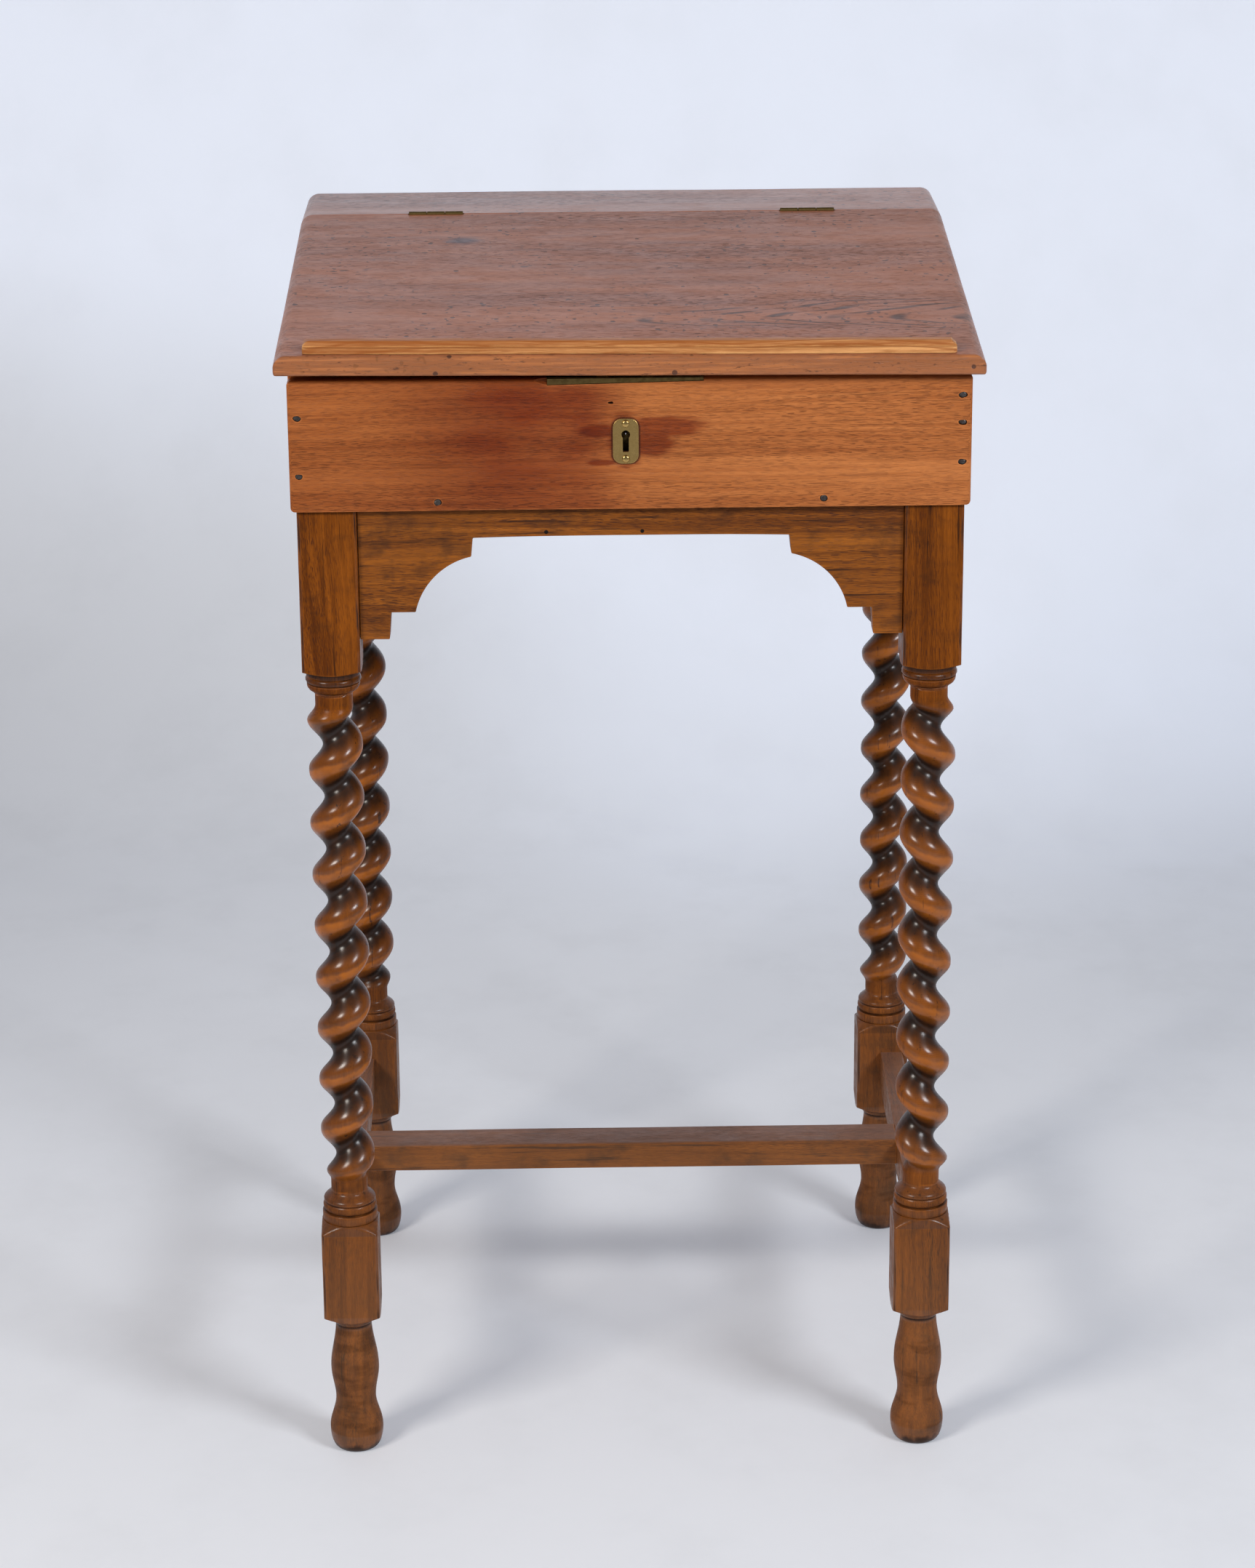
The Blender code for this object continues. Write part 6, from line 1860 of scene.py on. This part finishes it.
def screw_mesh(name, direction):
    """Countersunk screw with a slot, driven in a direction from its head."""
    low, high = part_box(name)
    middle = (low + high) / 2
    axis = Vector(direction)
    main = max(range(3), key=lambda part: abs(axis[part]))
    across = [part for part in range(3) if part != main]
    radius = min(high[across[0]] - low[across[0]], high[across[1]] - low[across[1]]) / 2
    long = high[main] - low[main]
    head = middle - axis * long / 2
    stations = [(0.0, radius * 0.5), (0.0, radius * 0.96), (0.0001, radius), (SCREW_HEAD_DEPTH, radius / 2)]
    stations += [(long * 0.9, radius / 2), (long, radius / 5)]
    side = axis.orthogonal().normalized()
    turn = Matrix.Rotation(radius * 40000 + middle.x * 90, 3, axis)
    slot_way = turn @ side
    other = axis.cross(slot_way)
    rings = []
    for depth in (-CUT_REACH, SCREW_SLOT_DEPTH):
        reach = 2 * radius
        half = SCREW_SLOT / 2
        ring = []
        for along, over in ((-reach, -half), (reach, -half), (reach, half), (-reach, half)):
            ring.append(head + axis * depth + slot_way * along + other * over)
        rings.append(ring)
    return worked(name, skin(name, turned(head, axis, stations, 20)), 0.0, [skin("slot", rings)])


class MakeHinges(TableOperator, bpy.types.Operator):
    """Makes the brass butt hinges with their pins and screws"""

    bl_idname = "writing_table.make_hinges"
    bl_label = "Hinges"

    def execute(self, context):
        thirds = ((0, 1 / 3), (1 / 3, 2 / 3), (2 / 3, 1))
        for word, side in (("left", -1), ("right", 1)):
            for leaf_word, way, own in (("ledge", 1, (thirds[0], thirds[2])), ("lid", -1, (thirds[1],))):
                name = f"hinge_{word}_{leaf_word}_leaf"
                near = HINGE_Y + way * FIT_GAP / 2
                far = near + way * LEAF_THICKNESS
                half = HINGE_LENGTH / 2
                middle = hinge_x(side)
                outline = rectangle(middle - half, middle + half, min(near, far), max(near, far))
                plate = skin(name, drawn(outline, "Z", TOP_HEIGHT - LEAF_HEIGHT, TOP_HEIGHT - 0.0004))
                others = [part for part in thirds if part not in own]
                rooms = [barrel(side, *part, KNUCKLE_RADIUS + 2 * FIT_GAP) for part in others]
                joiners = [barrel(side, *part, KNUCKLE_RADIUS) for part in own]
                mesh = worked(name, plate, 0.0002, rooms, joiners, 2)
                body = "lid" if way < 0 else "frame"
                add_piece(f"folded_{name}", mesh, hinge_finish(), body, "brass", name)
                for number in (1, 2):
                    screw = f"hinge_{word}_{leaf_word}_screw_{number}"
                    mesh = screw_mesh(screw, (0, way, 0))
                    add_piece(f"slotted_{screw}", mesh, hinge_finish(), body, "brass", screw)
            name = f"hinge_{word}_pin"
            mesh = smooth(barrel(side, 0, 1, PIN_RADIUS, 16), METAL_SHARP_ANGLE)
            add_piece(f"turned_{name}", mesh, hinge_finish(), "frame", "brass", name)
        return {"FINISHED"}


def softened(name, arris, joiners=()):
    """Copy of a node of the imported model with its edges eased."""
    build = bmesh.new()
    build.from_mesh(frame["nodes"][name].data)
    bmesh.ops.remove_doubles(build, verts=build.verts, dist=SAME_POINT)
    bmesh.ops.dissolve_limit(build, angle_limit=math.radians(2), verts=build.verts, edges=build.edges)
    mesh = bpy.data.meshes.new(name)
    build.to_mesh(mesh)
    build.free()
    return worked(name, mesh, arris, (), joiners, 2)


class MakeLock(TableOperator, bpy.types.Operator):
    """Files the brass edges of the lock and finishes its case, bolt and link plate"""

    bl_idname = "writing_table.make_lock"
    bl_label = "Lock"

    def execute(self, context):
        for name, body in (("lock_selvedge", "frame"), ("lock_bolt", "bolt"), ("lock_link_plate", "lid")):
            joiners = [selvedge_lip(-FIT_GAP, FIT_GAP)] if name == "lock_selvedge" else []
            mesh = softened(name, 0.0002, joiners)
            finish = hinge_finish() if name == "lock_selvedge" else brass_finish()
            add_piece(f"filed_{name}", mesh, finish, body, "brass", name)
        mesh = softened("lock_case", 0.0003)
        add_piece("filed_lock_case", mesh, dark_iron_finish(), "frame", "iron", "lock_case")
        low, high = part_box("lock_drill_pin")
        radius = (high.x - low.x) / 2
        middle = ((low.x + high.x) / 2, low.y, (low.z + high.z) / 2)
        turns = (0.1, 0.4, 0.8, 1.2, 1.57)
        stations = [(radius * (1 - math.cos(part)), radius * math.sin(part)) for part in turns]
        stations.append((high.y - low.y, radius))
        mesh = smooth(skin("drill_pin", turned(middle, (0, 1, 0), stations, 20)))
        add_piece("turned_lock_drill_pin", mesh, steel_finish(), "frame", "iron", "lock_drill_pin")
        for word in ("left", "right"):
            screw = f"selvedge_screw_{word}"
            mesh = screw_mesh(screw, (0, 0, -1))
            add_piece(f"slotted_{screw}", mesh, brass_finish(), "frame", "brass", screw)
            screw = f"link_screw_{word}"
            mesh = screw_mesh(screw, (0, -math.sin(LID_SLOPE), math.cos(LID_SLOPE)))
            add_piece(f"slotted_{screw}", mesh, brass_finish(), "lid", "brass", screw)
        return {"FINISHED"}


class MakeEscutcheon(TableOperator, bpy.types.Operator):
    """Files the escutcheon and sets its two domed pins"""

    bl_idname = "writing_table.make_escutcheon"
    bl_label = "Escutcheon"

    def execute(self, context):
        low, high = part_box("escutcheon")
        half_width = ESCUTCHEON_WIDTH / 2 - ESCUTCHEON_CORNER
        half_height = ESCUTCHEON_HEIGHT / 2 - ESCUTCHEON_CORNER
        outline = []
        for turn, side_x, side_z in ((0, 1, 1), (90, -1, 1), (180, -1, -1), (270, 1, -1)):
            centre_x = LOCK_X + side_x * half_width
            centre_z = ESCUTCHEON_Z + side_z * half_height
            outline += arc(centre_x, centre_z, ESCUTCHEON_CORNER, turn, turn + 90, 10)
        rings = drawn(outline, "Y", low.y, high.y)
        cutters = keyhole_cutters(low.y - CUT_REACH, high.y + CUT_REACH)
        mesh = worked("escutcheon", skin("escutcheon", rings), 0.0005, cutters)
        add_piece("filed_escutcheon", mesh, brass_finish(), "frame", "brass", "escutcheon")
        for word, side in (("upper", 1), ("lower", -1)):
            name = f"escutcheon_pin_{word}"
            face = low.y - FIT_GAP
            seat = Vector((LOCK_X, face, ESCUTCHEON_Z + side * ESCUTCHEON_PIN_SPAN / 2))
            stations = []
            for step in range(1, PIN_HEAD_STEPS + 1):
                angle = math.pi / 2 * (1 - step / PIN_HEAD_STEPS)
                stations.append((-PIN_HEAD_HEIGHT * math.sin(angle), PIN_HEAD_RADIUS * math.cos(angle)))
            stations += [(0.0002, PIN_HEAD_RADIUS), (0.0003, PIN_SHANK_RADIUS)]
            stations.append((PIN_SHANK_LENGTH, PIN_SHANK_RADIUS))
            mesh = worked(name, skin(name, turned(seat, (0, 1, 0), stations, 28)))
            add_piece(f"domed_{name}", mesh, polished_finish(), "frame", "brass", name)
        return {"FINISHED"}


# Stage


def stage_finish():
    """Painted floor and wall with scuffs, under painted light: soft clouds, and a wall that grows paler
    upwards and towards the right.
    """
    colours = settings().stage
    finish = Finish("stage_paint")
    desk = finish.desk
    x, y, z = desk.parts(finish.place)
    cloud = desk.noise(finish.place, (1.3, 1.3, 1.3), 3.0)
    scuff = desk.ramp(desk.noise(finish.place, (6.0, 5.0, 6.0), 5.0, 0.62), 0.40, 0.75)
    # Painted light: the wall and its glow grow paler upwards and towards the right, in soft clouds
    lean = desk.times(x, z, desk.minus(0.8, z), 2.0)
    far = desk.times(desk.ramp(y, 0.6, 1.4), desk.ramp(x, -0.5, 0.2, 0.0, 1.0), 0.26)
    level = desk.plus(desk.plus(z, 0.04), desk.plus(lean, desk.times(cloud, 0.2)))
    rise = desk.ramp(desk.plus(level, far), 0.15, 0.60)
    tone = desk.mix(rise, colours.floor, colours.wall)
    tone = desk.mix(desk.times(scuff, 0.35), tone, shaded(colours.floor, 0.86))
    rough = desk.ramp(scuff, 0.0, 1.0, 0.55, 0.75)
    finish.set(Base_Color=tone, Roughness=rough, Specular_IOR_Level=0.2)
    path = desk.nodes.new("ShaderNodeLightPath").outputs
    seen = desk.most(path["Is Camera Ray"], path["Is Glossy Ray"], path["Is Transmission Ray"])
    behind = desk.nodes.new("ShaderNodeNewGeometry").outputs["Backfacing"]
    finish.set(Alpha=desk.minus(1.0, behind))
    glow = desk.mix(rise, shaded(colours.glow, 0.40), colours.glow)
    finish.set(Emission_Color=glow, Emission_Strength=seen)
    return finish.material


def make_sweep():
    """Floor that curves up into a wall behind the table."""
    path = [(-SWEEP_HALF, 0.0), (-1.0, 0.0), (SWEEP_BEND, 0.0)]
    path += arc(SWEEP_BEND, SWEEP_RADIUS, SWEEP_RADIUS, -90, 0, SWEEP_STEPS)[1:]
    path.append((SWEEP_BEND + SWEEP_RADIUS, SWEEP_HEIGHT))
    points = []
    faces = []
    for y, z in path:
        points += [(-SWEEP_HALF, y, z), (SWEEP_HALF, y, z)]
    for step in range(len(path) - 1):
        low = 2 * step
        faces.append((low, low + 1, low + 3, low + 2))
    mesh = bpy.data.meshes.new("sweep")
    mesh.from_pydata(points, [], faces)
    mesh.materials.append(stage_finish())
    sweep = loose("sweep", smooth(mesh))


def aim(place, target):
    return (Vector(target) - Vector(place)).to_track_quat("-Z", "Y").to_euler()


def add_softbox(name, side, energy, tint):
    lamp = bpy.data.lights.new(name, "AREA")
    lamp.shape = "RECTANGLE"
    lamp.size, lamp.size_y = SOFTBOX_SIZE
    lamp.energy = energy
    lamp.color = tint
    x, y, z = SOFTBOX_PLACE
    made = bpy.data.objects.new(name, lamp)
    made.location = (side * x, y, z)
    made.rotation_euler = aim((side * x, y, z), SOFTBOX_TARGET)
    bpy.context.scene.collection.objects.link(made)


def add_camera(lens):
    ahead = Vector((
        math.sin(CAMERA_YAW) * math.cos(CAMERA_PITCH),
        math.cos(CAMERA_YAW) * math.cos(CAMERA_PITCH),
        -math.sin(CAMERA_PITCH),
    ))
    right = Vector((math.cos(CAMERA_YAW), -math.sin(CAMERA_YAW), 0.0))
    up = right.cross(ahead)
    tilted_right = math.cos(CAMERA_ROLL) * right + math.sin(CAMERA_ROLL) * up
    tilted_up = -math.sin(CAMERA_ROLL) * right + math.cos(CAMERA_ROLL) * up
    data = bpy.data.cameras.new("camera")
    data.lens = lens
    data.sensor_width = CAMERA_SENSOR
    data.sensor_fit = "AUTO"
    camera = bpy.data.objects.new("camera", data)
    turn = Matrix((tilted_right, tilted_up, -ahead)).transposed()
    camera.matrix_world = Matrix.Translation(CAMERA_PLACE) @ turn.to_4x4()
    bpy.context.scene.collection.objects.link(camera)
    bpy.context.scene.camera = camera


class MakeStage(TableOperator, bpy.types.Operator):
    """Sets up the floor, the soft light and the camera"""

    bl_idname = "writing_table.make_stage"
    bl_label = "Floor, light and camera"

    def execute(self, context):
        stage = settings().stage
        make_sweep()
        add_softbox("left_softbox", -1, stage.left_power, stage.left_tint)
        add_softbox("right_softbox", 1, stage.right_power, stage.right_tint)
        world = bpy.data.worlds.new("studio")
        world.use_nodes = True
        background = world.node_tree.nodes["Background"]
        background.inputs["Color"].default_value = as_colour(stage.fill_tint)
        background.inputs["Strength"].default_value = stage.fill
        scene = bpy.context.scene
        scene.world = world
        scene.view_settings.view_transform = "Standard"
        add_camera(stage.lens)
        return {"FINISHED"}


class TablePanel(bpy.types.Panel):
    """Lists the pieces of the writing table and their settings"""

    bl_idname = "VIEW3D_PT_writing_table"
    bl_label = "Writing table"
    bl_space_type = "VIEW_3D"
    bl_region_type = "UI"
    bl_category = "Writing table"

    def draw(self, context):
        made = context.scene.writing_table
        column = self.layout.column(align=True)
        for operator in OPERATORS:
            column.operator(operator.bl_idname)
        for part in (made.legs, made.boards, made.woods, made.metals, made.stage):
            box = self.layout.box()
            for name in part.bl_rna.properties.keys():
                if name not in ("rna_type", "name"):
                    box.prop(part, name)


OPERATORS = (
    MakeLegs,
    MakeAprons,
    MakeStretchers,
    MakeBox,
    MakeNails,
    MakeTop,
    MakePenRest,
    MakeHinges,
    MakeLock,
    MakeEscutcheon,
    MakeStage,
)
SETTINGS = (LegSettings, BoardSettings, WoodSettings, MetalSettings, StageSettings, TableSettings)
CLASSES = (*SETTINGS, *OPERATORS, TablePanel)


def register():
    noise.seed_set(HAND_SEED)
    for part in CLASSES:
        bpy.utils.register_class(part)
    bpy.types.Scene.writing_table = bpy.props.PointerProperty(type=TableSettings)


def unregister():
    del bpy.types.Scene.writing_table
    for part in reversed(CLASSES):
        bpy.utils.unregister_class(part)


def main():
    register()
    bpy.ops.writing_table.make_legs()
    bpy.ops.writing_table.make_aprons()
    bpy.ops.writing_table.make_stretchers()
    bpy.ops.writing_table.make_box()
    bpy.ops.writing_table.make_nails()
    bpy.ops.writing_table.make_top()
    bpy.ops.writing_table.make_pen_rest()
    bpy.ops.writing_table.make_hinges()
    bpy.ops.writing_table.make_lock()
    bpy.ops.writing_table.make_escutcheon()
    bpy.ops.writing_table.make_stage()
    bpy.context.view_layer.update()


if __name__ == "__main__":
    main()
